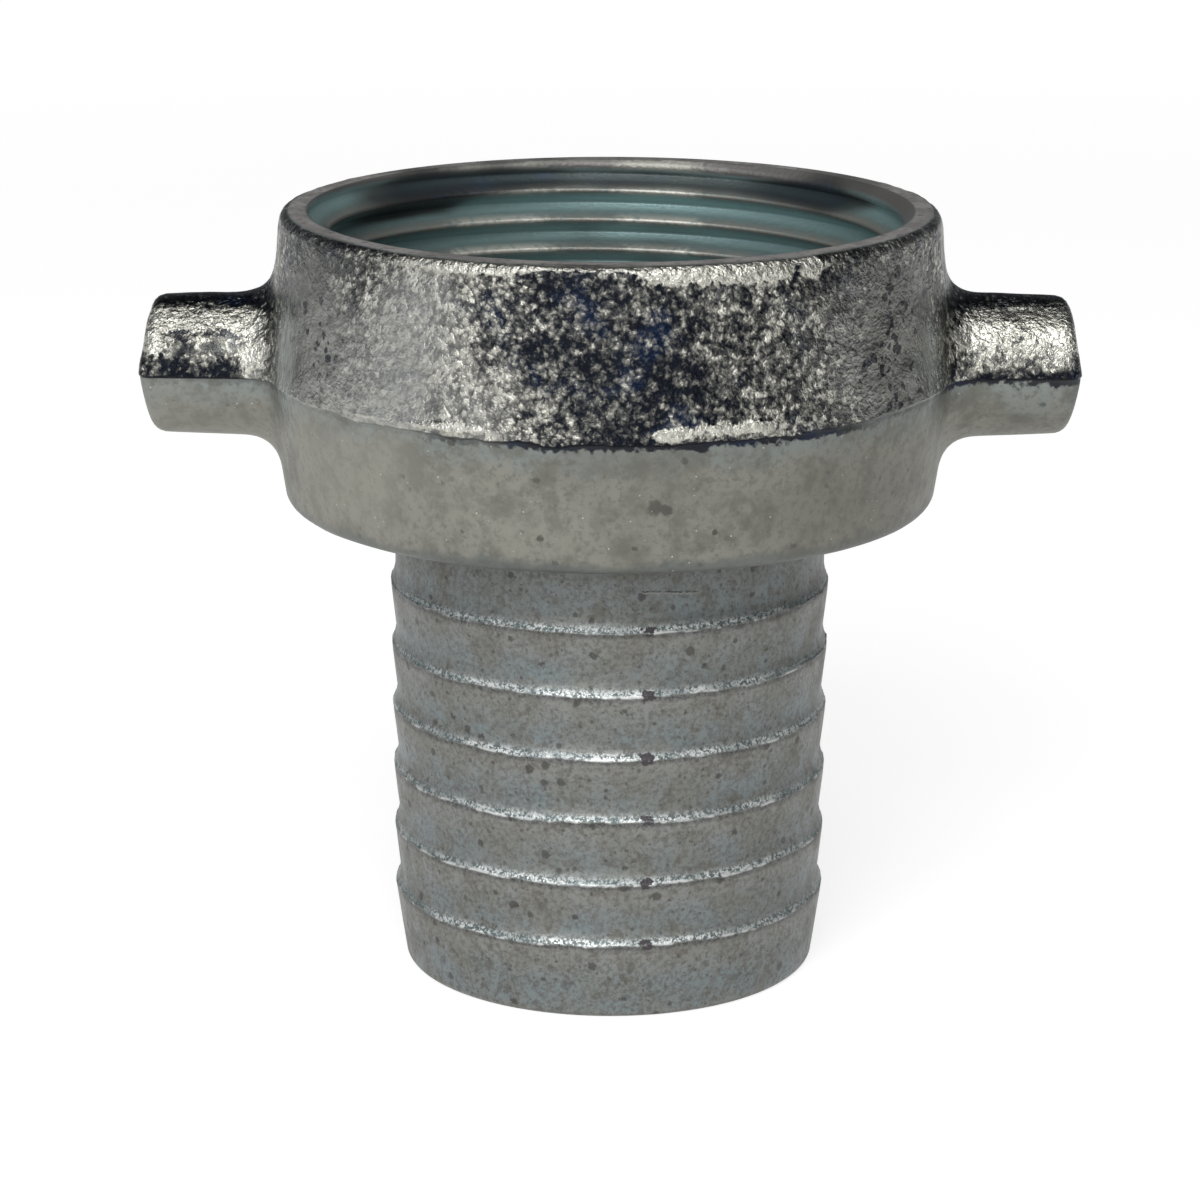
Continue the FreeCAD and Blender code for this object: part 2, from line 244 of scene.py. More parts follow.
def lattice_noise(points, size, seed):
    """Soft noise between -1 and 1: random values on a cubic lattice, blended smoothly.

    The eight values round a point are mixed by 3t^2 - 2t^3 along each axis. The
    lattice repeats after 64 steps, and size is one step in metres.
    """
    steps, off_centre = 64, 31.7
    values = np.random.default_rng(seed).uniform(-1, 1, (steps, steps, steps))
    place = points / size + off_centre
    base = np.floor(place).astype(int)
    t = place - base
    t = t * t * (3 - 2 * t)
    total = np.zeros(points.shape[:-1])
    for step_x in (0, 1):
        for step_y in (0, 1):
            for step_z in (0, 1):
                weight = np.abs(1 - step_x - t[..., 0])
                weight = weight * np.abs(1 - step_y - t[..., 1])
                weight = weight * np.abs(1 - step_z - t[..., 2])
                corner = (base + (step_x, step_y, step_z)) % steps
                total += weight * values[corner[..., 0], corner[..., 1], corner[..., 2]]
    return total


def bumpy(points, *layers):
    """Sum of soft noises, each given by its weight, its size in millimetres and its seed."""
    return sum(weight * lattice_noise(points, size * MM, seed) for weight, size, seed in layers)


def grid_normals(points):
    """Outward normals of a closed grid, as the cross product of its two directions.

    Rows run along axis 0 and columns round the coupling along axis 1, whose last
    column lies on the first.
    """
    along = np.roll(points, -1, axis=0) - np.roll(points, 1, axis=0)
    ring = points[:, :-1]
    around = np.roll(ring, -1, axis=1) - np.roll(ring, 1, axis=1)
    around = np.concatenate([around, around[:, :1]], axis=1)
    normals = np.cross(around, along)
    size = np.linalg.norm(normals, axis=2, keepdims=True)
    return normals / np.maximum(size, 1e-12)


def add_grid(name, points, marks):
    """Make a closed mesh from a grid of points, with a float mark on each point.

    Row i is joined to row i + 1, and the last row to the first. The points of the
    last column lie on points of the first, one turn on. Points that fall together
    are merged, and triangles that have no area left are dropped.
    """
    rows, columns = points.shape[:2]
    flat = points.reshape(-1, 3)
    merge_distance = 1e-7
    keys = np.round(flat / merge_distance).astype(np.int64)
    _, first, same = np.unique(keys, axis=0, return_index=True, return_inverse=True)
    same = same.reshape(rows, columns)
    upper = np.roll(same, -1, axis=0)
    corners = [same[:, :-1], same[:, 1:], upper[:, 1:], upper[:, :-1]]
    halves = [np.stack([corners[0], corners[b], corners[c]], axis=2) for b, c in ((1, 2), (2, 3))]
    faces = np.concatenate([half.reshape(-1, 3) for half in halves])
    faces = faces[(faces != np.roll(faces, 1, axis=1)).all(axis=1)]

    mesh = bpy.data.meshes.new(name)
    mesh.vertices.add(len(first))
    mesh.vertices.foreach_set("co", flat[first].astype(np.float32).ravel())
    mesh.loops.add(faces.size)
    mesh.loops.foreach_set("vertex_index", faces.astype(np.int32).ravel())
    mesh.polygons.add(len(faces))
    mesh.polygons.foreach_set("loop_start", np.arange(0, faces.size, 3, dtype=np.int32))
    mesh.update(calc_edges=True)
    mesh.polygons.foreach_set("use_smooth", np.ones(len(faces), bool))
    for mark, values in marks.items():
        layer = mesh.attributes.new(mark, "FLOAT", "POINT")
        layer.data.foreach_set("value", values.reshape(-1)[first].astype(np.float32))
    if mesh.validate():
        raise RuntimeError(f"{name} has faulty faces")
    piece = bpy.data.objects.new(name, mesh)
    bpy.context.scene.collection.objects.link(piece)
    return piece


def along_line(start, end, count):
    """Points from start up to but not including end, evenly spaced."""
    steps = np.arange(count)[:, None] / count
    return np.array(start) + steps * (np.array(end) - np.array(start))


def along_corners(corners, counts):
    """Points along straight lines from corner to corner, up to but not including the last."""
    return np.concatenate([along_line(*ends) for ends in zip(corners, corners[1:], counts)])


def along_arc(centre, radius, start, end, count):
    """Points on an arc in the plane of radius and height, angles in degrees, without the last."""
    angles = np.radians(start + np.arange(count) / count * (end - start))
    return np.array(centre) + radius * np.stack([np.cos(angles), np.sin(angles)], axis=1)


def even_angles(steps):
    """Angles from 0 to a full turn in even steps."""
    return np.linspace(0, FULL_TURN, steps + 1)


def turned(radius, height, angles):
    """Grid of points from radii and heights, turned round the axis."""
    radius, height, angles = np.broadcast_arrays(radius, height, angles)
    return np.stack([radius * np.cos(angles), radius * np.sin(angles), height], axis=2)


def bend(start, corner, end, t):
    """Quadratic curve from start to end, drawn towards a corner point."""
    return (1 - t) ** 2 * start + 2 * t * (1 - t) * corner + t * t * end


def wall_radius(looks, height):
    """Outside of the nut's wall at a height above its foot: widest at the parting line.

    The radius falls in a straight line to the rim above the line and to the foot
    below it.
    """
    tall = looks.rim_height - looks.foot_height
    above = (height - looks.parting_height) / (tall - looks.parting_height)
    below = (looks.parting_height - height) / looks.parting_height
    upper = looks.widest_radius + (looks.rim_radius - looks.widest_radius) * above
    lower = looks.widest_radius + (looks.foot_radius - looks.widest_radius) * below
    return np.where(height > looks.parting_height, upper, lower)


def nut_angles():
    """Angles round the nut from 0 to a full turn, set closer together near the lugs."""
    near, fine, coarse = 0.34, 50, 136
    quarter = np.concatenate([
        np.linspace(0, near, fine, endpoint=False),
        np.linspace(near, math.pi - near, coarse, endpoint=False),
        np.linspace(math.pi - near, math.pi, fine, endpoint=False),
    ])
    return np.concatenate([quarter, quarter + math.pi, [FULL_TURN]])


def outer_section(looks):
    """Section of the nut's outside, from the collar's bore out, up the wall and in over the rim.

    Returns the radius and height above the foot of each row, and where the wall's
    rows start and stop. The foot and rim are rounded by arcs that touch the wall.
    """
    tall = looks.rim_height - looks.foot_height
    draft_down = math.atan((looks.widest_radius - looks.foot_radius) / looks.parting_height)
    draft_up = math.atan((looks.widest_radius - looks.rim_radius) / (tall - looks.parting_height))
    foot, rim = looks.foot_rounding, looks.rim_rounding
    foot_centre = (looks.foot_radius + foot * math.tan(draft_down) - foot / math.cos(draft_down), foot)
    rim_centre = (looks.rim_radius + rim * math.tan(draft_up) - rim / math.cos(draft_up), tall - rim)
    bevel = 0.35 * MM
    bore = looks.collar_radius
    corners = ((bore, looks.collar_thickness), (bore, bevel), (bore + bevel, 0), (foot_centre[0], 0))
    under = [
        along_corners(corners, (5, 2, 6)),
        along_arc(foot_centre, foot, -90, -math.degrees(draft_down), 8),
    ]
    low = foot * (1 - math.sin(draft_down))
    high = tall - rim * (1 - math.sin(draft_up))
    middle, reach = looks.parting_height, 0.6 * MM
    heights = np.concatenate([
        np.linspace(low, middle - reach, 37, endpoint=False),
        np.linspace(middle - reach, middle + reach, 14, endpoint=False) + reach / 14,
        np.linspace(middle + reach, high, 48, endpoint=False)[1:],
    ])
    wall = np.stack([wall_radius(looks, heights), heights], axis=1)
    over = [
        along_arc(rim_centre, rim, math.degrees(draft_up), 90, 9),
        along_line((rim_centre[0], tall), (looks.thread_root, tall), 6),
    ]
    section = np.concatenate(under + [wall] + over)
    first = sum(len(part) for part in under)
    return section, first, first + len(wall)


def draw_lugs(looks, points, wall):
    """Draw both lugs out of the wall's rows, in place.

    A wall point at a distance d from a lug's axis, seen along that axis, keeps
    its direction from the axis. From the outside in, d becomes the blend (a
    quadratic curve from wall to side), the tapered side, the rounded corner
    (another quadratic curve) and the end, which slopes back from the parting line.
    Returns d over the blend's outer radius for each point, at most 2.
    """
    rows = points[wall]
    side = np.sign(rows[..., 0])
    centre = looks.foot_height + looks.parting_height
    across, up = rows[..., 1], rows[..., 2] - centre
    away = np.hypot(across, up)
    limit = looks.lug_root_radius + looks.lug_fillet
    inside = away < limit
    share_out = away[inside] / limit
    unit_y = across[inside] / np.maximum(away[inside], 1e-9)
    unit_z = up[inside] / np.maximum(away[inside], 1e-9)
    span = looks.lug_reach - looks.widest_radius

    def surface(rho):
        """Wall's distance along the lug's axis, at a radius from that axis."""
        height = looks.parting_height + rho * unit_z
        return np.sqrt(wall_radius(looks, height) ** 2 - (rho * unit_y) ** 2)

    def side_radius(reach):
        """Lug's own radius at a distance from the coupling's axis: a straight taper."""
        part = (reach - looks.widest_radius) / span
        return looks.lug_root_radius + (looks.lug_end_radius - looks.lug_root_radius) * part

    def end_reach(rho):
        """End of the lug: highest along the parting line, with a softened ridge."""
        ridge = 0.35 * MM
        slope = math.tan(looks.lug_end_draft)
        return looks.lug_reach - (np.sqrt((rho * unit_z) ** 2 + ridge ** 2) - ridge) * slope

    def pair(rho, reach):
        """Point of the lug's section: its radius and its distance from the coupling's axis."""
        return np.stack(np.broadcast_arrays(rho, reach))

    wall_point = pair(limit, surface(limit))
    root = pair(looks.lug_root_radius, surface(looks.lug_root_radius))
    blend_end = root[1] + looks.lug_fillet
    blend_point = pair(side_radius(blend_end), blend_end)
    edge = pair(looks.lug_end_radius, end_reach(looks.lug_end_radius))
    shoulder = edge[1] - looks.lug_corner
    side_point = pair(side_radius(shoulder), shoulder)
    flat = looks.lug_end_radius - looks.lug_corner
    end_point = pair(flat, end_reach(flat))

    at_end, at_corner, at_side = 0.36, 0.48, 0.74
    in_end = np.clip(share_out / at_end, 0, 1)
    in_corner = (share_out - at_end) / (at_corner - at_end)
    in_side = (share_out - at_corner) / (at_side - at_corner)
    in_blend = (share_out - at_side) / (1 - at_side)
    place = pair(flat * in_end, end_reach(flat * in_end))
    place = np.where(in_corner > 0, bend(end_point, edge, side_point, in_corner), place)
    place = np.where(in_side > 0, side_point + (blend_point - side_point) * in_side, place)
    place = np.where(in_blend > 0, bend(blend_point, root, wall_point, in_blend), place)
    rows[..., 0][inside] = place[1] * side[inside]
    rows[..., 1][inside] = place[0] * unit_y
    rows[..., 2][inside] = place[0] * unit_z + centre
    points[wall] = rows
    spread = np.full(points.shape[:2], 2.0)
    spread[wall] = np.minimum(away / limit, 2)
    return spread


def thread_rows(looks, angles):
    """Rows of the thread: each follows the helix up, and is clipped at both ends.

    A row's height rises by one pitch a turn, so its last point lies on the first
    point of the row one pitch above. Its radius is that of a groove with
    30 degree flanks and a narrow flat root, or of the entry bevel or the recess
    where they are wider. Rows clipped at an end fall together there.
    """
    pitch, depth = looks.thread_pitch, looks.thread_root - looks.thread_crest
    root_half = 0.125 * MM
    crest_edge = root_half + depth * math.tan(math.radians(30))
    offsets = np.array([0, root_half, 0.55 * MM, 0.93 * MM, crest_edge])
    offsets = np.concatenate([offsets, [pitch / 2], pitch - offsets[:0:-1]])
    turns = math.ceil(looks.thread_length / pitch) + 1
    top = looks.rim_height
    low = top - looks.thread_length
    first_groove = top - 1.59 * MM
    falls = (np.arange(turns + 1)[:, None] * pitch + offsets[None, :]).ravel() - 2 * pitch
    heights = first_groove - falls[:, None] + pitch * angles[None, :] / FULL_TURN
    phase = np.mod(heights - first_groove - pitch * angles[None, :] / FULL_TURN, pitch)
    from_groove = np.minimum(phase, pitch - phase)
    heights = np.clip(heights, low, top)
    flank = looks.thread_root - (from_groove - root_half) / math.tan(math.radians(30))
    radius = np.clip(flank, looks.thread_crest, looks.thread_root)
    entry = looks.thread_root + 0.02 * MM - (top - heights)
    recess = looks.relief_radius - (heights - low) * 1.2
    soft = np.where(phase > pitch / 2, 0.3 * MM, 0.1 * MM)
    crest = smooth_step(from_groove - crest_edge, -soft, 0 * soft)
    crest = crest * (radius > np.maximum(entry, recess) - 1e-9)
    bevel = smooth_step(entry - radius, -0.05 * MM, 0.02 * MM)
    radius = np.maximum(radius, np.maximum(entry, recess))
    inside = np.flatnonzero((heights.max(axis=1) > low + 1e-9) & (heights.min(axis=1) < top - 1e-9))
    kept = slice(inside[0] - 1, inside[-1] + 2)
    return radius[kept], heights[kept], crest[kept], bevel[kept]


def nut_surface(looks):
    """Closed surface of the swivel nut, and the marks that its finish reads.

    The section is turned round the axis, the wall's rows follow the bow of the
    parting line, the lugs are drawn out of the wall, and the thread's rows run
    up the helix. Last, each point moves along its normal by the casting's lumps.
    """
    angles = nut_angles()
    section, first, last = outer_section(looks)
    count = len(section)
    from_line = np.repeat(section[:, 1:2] - looks.parting_height, len(angles), axis=1)
    bow = looks.parting_bow * np.sin(angles) ** 2 * (1 - smooth_step(np.abs(from_line), 1 * MM, 7 * MM))
    floor = looks.foot_height + looks.collar_thickness
    low = looks.rim_height - looks.thread_length - 0.6 * MM
    relief, bore = looks.relief_radius, looks.collar_radius
    recess = along_corners(((relief, low), (relief, floor), (bore, floor)), (4, 6))
    thread_radius, thread_height, thread_crest, thread_bevel = thread_rows(looks, angles)
    points = np.concatenate([
        turned(section[:, 0:1], section[:, 1:2] - bow + looks.foot_height, angles),
        turned(thread_radius, thread_height, angles),
        turned(recess[:, 0:1], recess[:, 1:2], angles),
    ])

    shape = points.shape[:2]
    lug = draw_lugs(looks, points, slice(first, last))
    rows = np.arange(shape[0])[:, None]
    far_below = -12.0
    parting, crest, bevel = np.full(shape, far_below), np.zeros(shape), np.zeros(shape)
    parting[:count] = from_line / MM
    thread = slice(count, count + len(thread_radius))
    crest[thread], bevel[thread] = thread_crest, thread_bevel
    collar_rows, round_rows = 7, 9
    machined = np.broadcast_to(smooth_step(rows, last + round_rows - 3, last + round_rows), shape).copy()
    machined[:collar_rows] = 1
    land = machined * (rows < count) * (rows > last)
    cast = 1 - machined
    upper = smooth_step(parting, -0.05, 0.05) * cast

    away_from_lugs = smooth_step(np.abs(np.sin(angles)), 0.3, 0.7)[None, :]
    lumps, broad = bumpy(points, (1, 1.5, 3), (0.5, 0.7, 4)), bumpy(points, (1, 6, 5))
    bead = nut_bead(looks, points) * away_from_lugs * (parting > 0) * cast
    crease = bell(parting, -0.14, 0.12) * away_from_lugs
    offset = looks.unevenness * upper * (0.8 * lumps + 0.5 * broad - 0.4)
    offset += 0.02 * MM * cast * (1 - upper) * (bumpy(points, (1, 2.5, 6)) + broad)
    offset -= looks.parting_step * cast * (1 - upper) * smooth_step(parting, -7, -5)
    offset += 0.17 * MM * bead * (0.7 + 0.5 * lumps) - 0.05 * MM * crease * cast
    offset -= 0.16 * MM * bells(looks, points, RIM_DENT) * cast
    points = points + grid_normals(points) * offset[..., None]
    wander = bumpy(points, (0.7, 2.2, 7), (0.5, 0.9, 8))
    points[..., 2] += 0.22 * MM * wander * bell(parting, 0, 1.2) * away_from_lugs
    points[:count, -1] = points[:count, 0]
    on_lug = smooth_step(lug, 1.02, 0.9)
    marks = {
        "parting": parting, "machined": machined, "land": land, "bevel": bevel, "crest": crest,
        "lug": on_lug, "smooth": nut_smooth(looks, points, on_lug),
        # How dark the plating is: pitting, and painted dark reflection, light and shade.
        "shade": nut_shade(looks, points, on_lug),
        # Wear and painted highlights; the bead's share is partly a painted highlight on its lumps.
        "worn": nut_wear_and_highlights(looks, points, on_lug) + bead * (1.0 + 0.3 * lumps),
        "fibre": np.minimum(bells(looks, points, SCRAPED_ROOTS), 1),
    }
    return points, marks


def above_parting(looks, points):
    """Height above the parting line, in millimetres."""
    return (points[..., 2] - looks.foot_height - looks.parting_height) / MM


def bells(looks, points, patches):
    """Sum of bell curves of the angle round the nut and of the height above the parting line."""
    turn = np.degrees(np.arctan2(points[..., 1], points[..., 0]))
    tall = above_parting(looks, points)
    total = np.zeros(points.shape[:2])
    for angle, height, wide, high, strength in patches:
        across = (turn - angle + 180) % 360 - 180
        total += strength * np.exp(-(across / wide) ** 2 - ((tall - height) / high) ** 2)
    return total


def inside_mouth(points):
    """Say which points lie inside the nut's mouth."""
    return np.hypot(points[..., 0], points[..., 1]) < MOUTH_START * MM


def front_and_back(looks, points, patches, made_up):
    """Chosen patches on the front half of the nut, and a made-up pattern on its back half."""
    behind = smooth_step(points[..., 1], -4 * MM, 4 * MM)
    return bells(looks, points, patches) * (1 - behind) + behind * made_up


def nut_bead(looks, points):
    """Bead squeezed out at the parting line, from 0 to 1."""
    some = smooth_step(bumpy(points, (1, 5, 31)), -0.1, 0.5)
    some = some * bell(above_parting(looks, points), 0.35, 0.35)
    return front_and_back(looks, points, BEAD_LUMPS, some)


def nut_smooth(looks, points, on_lug):
    """Where the wall above the parting line came smooth and grey out of the mould, from 0 to 1."""
    some = 0.8 * smooth_step(bumpy(points, (1, 8, 34)), 0.1, 0.6)
    return front_and_back(looks, points, SMOOTH_STRETCHES, some) * (1 - on_lug)


def nut_wear_and_highlights(looks, points, on_lug):
    """Where the plating above the parting line is painted bright and smooth, from 0 to 1:
    partly wear, partly painted highlight.

    These are chosen stretches in front, partly wear and partly painted highlight;
    painted reflections inside; the rim's edge behind, where it is wear; and painted
    highlights on the lugs: the side of the right one, and the block, root and end of the left one.
    """
    tall = above_parting(looks, points)
    out = np.abs(points[..., 0]) / MM - LUG_START
    some = smooth_step(bumpy(points, (1, 6, 32)), -0.2, 0.5) * smooth_step(tall, 9.7, 10.3)
    outside = front_and_back(looks, points, WORN_AND_HIGHLIT_OUTSIDE, some)
    wall = np.where(inside_mouth(points), bells(looks, points, PAINTED_GLINTS_INSIDE), outside)
    # Painted highlights on the lugs: a band along the right lug, and the block, root and end of the left
    # one.
    right = 1.1 * bell(tall, 3.0, 1.25)
    block = 1.5 * bell(tall, 3.8, 0.8) * smooth_step(out, 0.8, 1.8)
    root = 1.2 * bell(out, 0.6, 1.0) * smooth_step(tall, 0.3, 1.2) * smooth_step(tall, 5, 4)
    end = 1.5 * bell(out, 7.5, 0.7) * bell(tall, 2.4, 1.1)
    lugs = np.where(points[..., 0] > 0, right, np.maximum(block, np.maximum(root, end)))
    lugs = lugs * (0.75 + bumpy(points * (1, 1, 0.3), (0.35, 0.8, 33)))
    return wall * (1 - on_lug) + lugs * on_lug


def nut_shade(looks, points, on_lug):
    """How dark the plating is, from 0 to 1: broad soft noise for its pitting, with chosen patches.

    In front above the parting line the patches are partly pitting and partly a painted
    dark reflection and painted light; below it they paint the left lighter and the right
    darker. On the lugs it is a painted dark reflection along the top and just above the
    parting line.
    """
    tall = above_parting(looks, points)
    shade = 0.42 + bumpy(points, (0.12, 9, 11), (0.1, 3, 12))
    outside, inside = [bells(looks, points, patches) for patches in (DARK_OUTSIDE, DARK_INSIDE)]
    shade += np.where(inside_mouth(points), inside, outside)
    low = np.where(points[..., 0] > 0, 0.3, 1.1)
    out = np.abs(points[..., 0]) / MM - LUG_START
    above_line = 0.45 * (tall > 0) * (1 - smooth_step(tall, low - 0.4, low + 0.7))
    # Painted dark reflection along the lugs' tops and just above the parting line.
    shade += on_lug * (0.4 * smooth_step(tall, 4.3, 4.8) + above_line * smooth_step(out, 0.6, 1.8))
    return np.clip(shade, 0, 1)


def shank_section(looks):
    """Section of the shank: down the bore, out under its lower end, up the barbs and round the flange.

    Returns radius, height and the height above the nearest crest for each row. A
    barb is a steep shoulder above its crest and a long ramp below it. Rows that
    belong to no barb get NO_BARB.
    """
    bore, tall, flange = looks.bore_radius, looks.height, looks.flange_radius
    bevel, end_rounding = 0.4 * MM, 0.55 * MM
    turn = looks.end_radius - end_rounding
    section = [np.concatenate([
        along_corners(((bore, tall - bevel), (bore, bevel), (bore + bevel, 0), (turn, 0)), (12, 2, 3)),
        along_arc((turn, end_rounding), end_rounding, -90, 0, 6),
    ])]
    gaps = [np.full(len(section[0]), NO_BARB)]
    shoulder = np.array([0, 0.07, 0.16, 0.3, 0.5, 0.75]) / 1.1
    fall = shoulder ** 0.55
    ramp = np.array([3.4, 2.9, 2.4, 1.9, 1.4, 1.0, 0.7, 0.45, 0.25, 0.12, 0.05]) / 3.4
    radius, height = looks.end_radius, end_rounding
    for barb in range(looks.barb_count):
        part = barb / (looks.barb_count - 1)
        crest = looks.low_barb_radius + (looks.top_barb_radius - looks.low_barb_radius) * part
        crest_height = looks.low_barb_height + barb * looks.barb_pitch
        root, root_height = crest - looks.barb_depth, crest_height + looks.barb_shoulder
        rise = crest_height - height
        section.append(np.stack([crest - (crest - radius) * ramp, crest_height - rise * ramp], axis=1))
        gaps.append(-rise * ramp / MM)
        section.append(np.stack([
            crest - looks.barb_depth * fall, crest_height + looks.barb_shoulder * shoulder,
        ], axis=1))
        gaps.append(looks.barb_shoulder * shoulder / MM)
        radius, height = root, root_height
    underside = tall - looks.flange_thickness
    neck = along_line((radius, height), (looks.neck_radius, underside), 16)
    section.append(neck)
    gaps.append(looks.barb_shoulder / MM + (neck[:, 1] - height) / MM)
    bevel = 0.35 * MM
    flange_rows = along_corners((
        (looks.neck_radius, underside), (flange - bevel, underside), (flange, underside + bevel),
        (flange, tall - bevel), (flange - bevel, tall), (bore + bevel, tall), (bore, tall - bevel),
    ), (4, 1, 4, 1, 6, 1))
    section.append(flange_rows)
    gaps.append(np.full(len(flange_rows), NO_BARB))
    return np.concatenate(section), np.concatenate(gaps)


def shank_surface(looks):
    """Closed surface of the hose shank, and the marks that its finish reads.

    The section is turned round the axis. The crests wander a little up and down
    and in and out, and the outside has the casting's soft unevenness.
    """
    section, gap = shank_section(looks)
    height = section[:, 1:2]
    points = turned(section[:, 0:1], height, even_angles(424))
    points[:, -1] = points[:, 0]
    gap = np.broadcast_to(gap[:, None], points.shape[:2])
    on_barbs = (gap < NO_BARB) * smooth_step(height, 0.2 * MM, 1.5 * MM)
    near_crest = bell(gap, 0, 0.35) * on_barbs
    in_out = bumpy(points, (0.6, 0.6, 21), (0.6, 1.7, 22))
    wander = bumpy(points, (0.6, 0.9, 23), (0.8, 4, 24))
    uneven = bumpy(points, (1, 3, 25), (0.5, 1.2, 26))
    offset = 0.05 * MM * near_crest * (in_out - 0.6) + 0.012 * MM * on_barbs * uneven
    points = points + grid_normals(points) * offset[..., None]
    points[..., 2] += 0.13 * MM * near_crest * wander
    points[:, -1] = points[:, 0]
    marks = {
        "edge": bell(gap, 0.02, 0.08) * on_barbs,
        "shoulder": smooth_step(gap, -0.02, 0.08) * (1 - smooth_step(gap, 0.3, 0.62)) * on_barbs,
        "under": smooth_step(gap, -0.45, -0.14) * (1 - smooth_step(gap, -0.06, 0.0)) * on_barbs,
        # On the neck the blue fades out, so the neck is painted lighter against the nut's shadow.
        "ramp": smooth_step(-gap, 0.4, 3.2) * (gap < 0.001)
        + smooth_step(gap, 0.2, 1.0) * (1 - 0.6 * smooth_step(gap, 1.5, 4)),
        "low": 1 - smooth_step(points[..., 2], 3.5 * MM, 6 * MM),
    }
    return points, marks


def washer_surface(looks):
    """Closed surface of the washer: a flat ring whose four edges are rounded by arcs."""
    r, hole, outer = looks.rounding, looks.hole_radius, looks.outer_radius
    foot, top = looks.foot_height, looks.top_height
    section = np.concatenate([
        along_line((hole, top - r), (hole, foot + r), 3),
        along_arc((hole + r, foot + r), r, 180, 270, 4),
        along_line((hole + r, foot), (outer - r, foot), 5),
        along_arc((outer - r, foot + r), r, -90, 0, 4),
        along_line((outer, foot + r), (outer, top - r), 3),
        along_arc((outer - r, top - r), r, 0, 90, 4),
        along_line((outer - r, top), (hole + r, top), 8),
        along_arc((hole + r, top - r), r, 90, 180, 4),
    ])
    points = turned(section[:, 0:1], section[:, 1:2], even_angles(256))
    points[:, -1] = points[:, 0]
    return points, {}


def plug(tree, socket, value):
    """Link a socket to another node's output, or fill it with a plain value."""
    if isinstance(value, bpy.types.NodeSocket):
        tree.links.new(value, socket)
    else:
        socket.default_value = value


def put(tree, kind, inputs, **settings):
    """Add a shader node with its inputs and settings."""
    node = tree.nodes.new("ShaderNode" + kind)
    for name, value in settings.items():
        setattr(node, name, value)
    for name, value in inputs.items():
        plug(tree, node.inputs[name], value)
    return node


def maths(tree, operation, *values):
    """Join values by one operation, from the left. An operation on one value ignores the zero."""
    joined = values[0]
    for value in values[1:] or (0.0,):
        joined = put(tree, "Math", {0: joined, 1: value}, operation=operation).outputs[0]
    return joined


def times(tree, *values):
    """Multiply values."""
    return maths(tree, "MULTIPLY", *values)


def plus(tree, *values):
    """Add values up."""
    return maths(tree, "ADD", *values)


def minus(tree, first, second):
    """Take the second value from the first."""
    return maths(tree, "SUBTRACT", first, second)


def larger(tree, *values):
    """Get the largest value."""
    return maths(tree, "MAXIMUM", *values)


def fade(tree, value, low, high, start=0.0, stop=1.0):
    """Go smoothly from start to stop while the value goes from low to high."""
    limits = {"From Min": low, "From Max": high, "To Min": start, "To Max": stop}
    node = put(tree, "MapRange", {"Value": value, **limits}, interpolation_type="SMOOTHSTEP")
    return node.outputs["Result"]


def turned_into(tree, value, start, stop):
    """Go smoothly from start to stop while a share goes from 0 to 1."""
    return fade(tree, value, 0.0, 1.0, start, stop)


def mix(tree, share_of_second, first, second):
    """Mix two colours: inputs 6 and 7 of the node, which comes out at 2."""
    node = put(tree, "Mix", {0: share_of_second}, data_type="RGBA")
    for index, value in ((6, first), (7, second)):
        plug(tree, node.inputs[index], value if isinstance(value, bpy.types.NodeSocket) else (*value, 1))
    return node.outputs[2]


def coats(tree, base, *layers):
    """Lay colours over a base one after another, each where its own mask says."""
    for mask, coat in layers:
        base = mix(tree, mask, base, coat)
    return base


def tint(given, factor):
    """Brighten or darken a colour by one factor, or by one for each of red, green and blue."""
    return tuple((np.array(given) * factor).tolist())


def vector(tree, operation, first, second):
    """Add a Vector Math node and return it."""
    return put(tree, "VectorMath", {0: first, 1: second}, operation=operation)


def noise(tree, place, size, detail=2.0, rough=0.5):
    """Add noise whose features are about size across, in metres."""
    inputs = {"Vector": place, "Scale": 1 / size, "Detail": detail, "Roughness": rough}
    return put(tree, "TexNoise", inputs).outputs["Fac"]


def swing(tree, place, size, detail, rough=0.5):
    """Add noise that swings about zero."""
    return minus(tree, noise(tree, place, size, detail, rough), 0.5)


def marks_of(tree, *names):
    """Read marks that the surface carries."""
    return [put(tree, "Attribute", {}, attribute_name=name).outputs["Fac"] for name in names]


def object_place(tree):
    """Get the object coordinates."""
    return put(tree, "TexCoord", {}).outputs["Object"]


def start_group(name, inputs, outputs):
    """Start a node group with named inputs and outputs."""
    group = bpy.data.node_groups.new(name, "ShaderNodeTree")
    for socket, kind, default in inputs:
        made = group.interface.new_socket(socket, in_out="INPUT", socket_type="NodeSocket" + kind)
        if default is not None:
            made.default_value = default
    for socket in outputs:
        group.interface.new_socket(socket, in_out="OUTPUT", socket_type="NodeSocketFloat")
    entry = group.nodes.new("NodeGroupInput")
    leave = group.nodes.new("NodeGroupOutput")
    return group, entry.outputs, leave.inputs


def place_group(tree, group, inputs):
    """Place a group in a material and return its outputs."""
    node = put(tree, "Group", {}, node_tree=group)
    for name, value in inputs.items():
        plug(tree, node.inputs[name], value)
    return node.outputs


def scatter(tree, place, spacing, amount):
    """Scatter dark specks, and return their mask."""
    inputs = {"Vector": place, "Spacing": spacing, "Amount": amount}
    return place_group(tree, effects()[1], inputs)["Mask"]


def spots_at(tree, place, spots):
    """Place a chosen spot for each centre and reach, given in millimetres, and join them."""
    joined = 0.0
    for x, y, z, reach in spots:
        inputs = {"Vector": place, "Centre": (x * MM, y * MM, z * MM), "Reach": reach * MM}
        joined = larger(tree, place_group(tree, effects()[2], inputs)["Mask"], joined)
    return joined


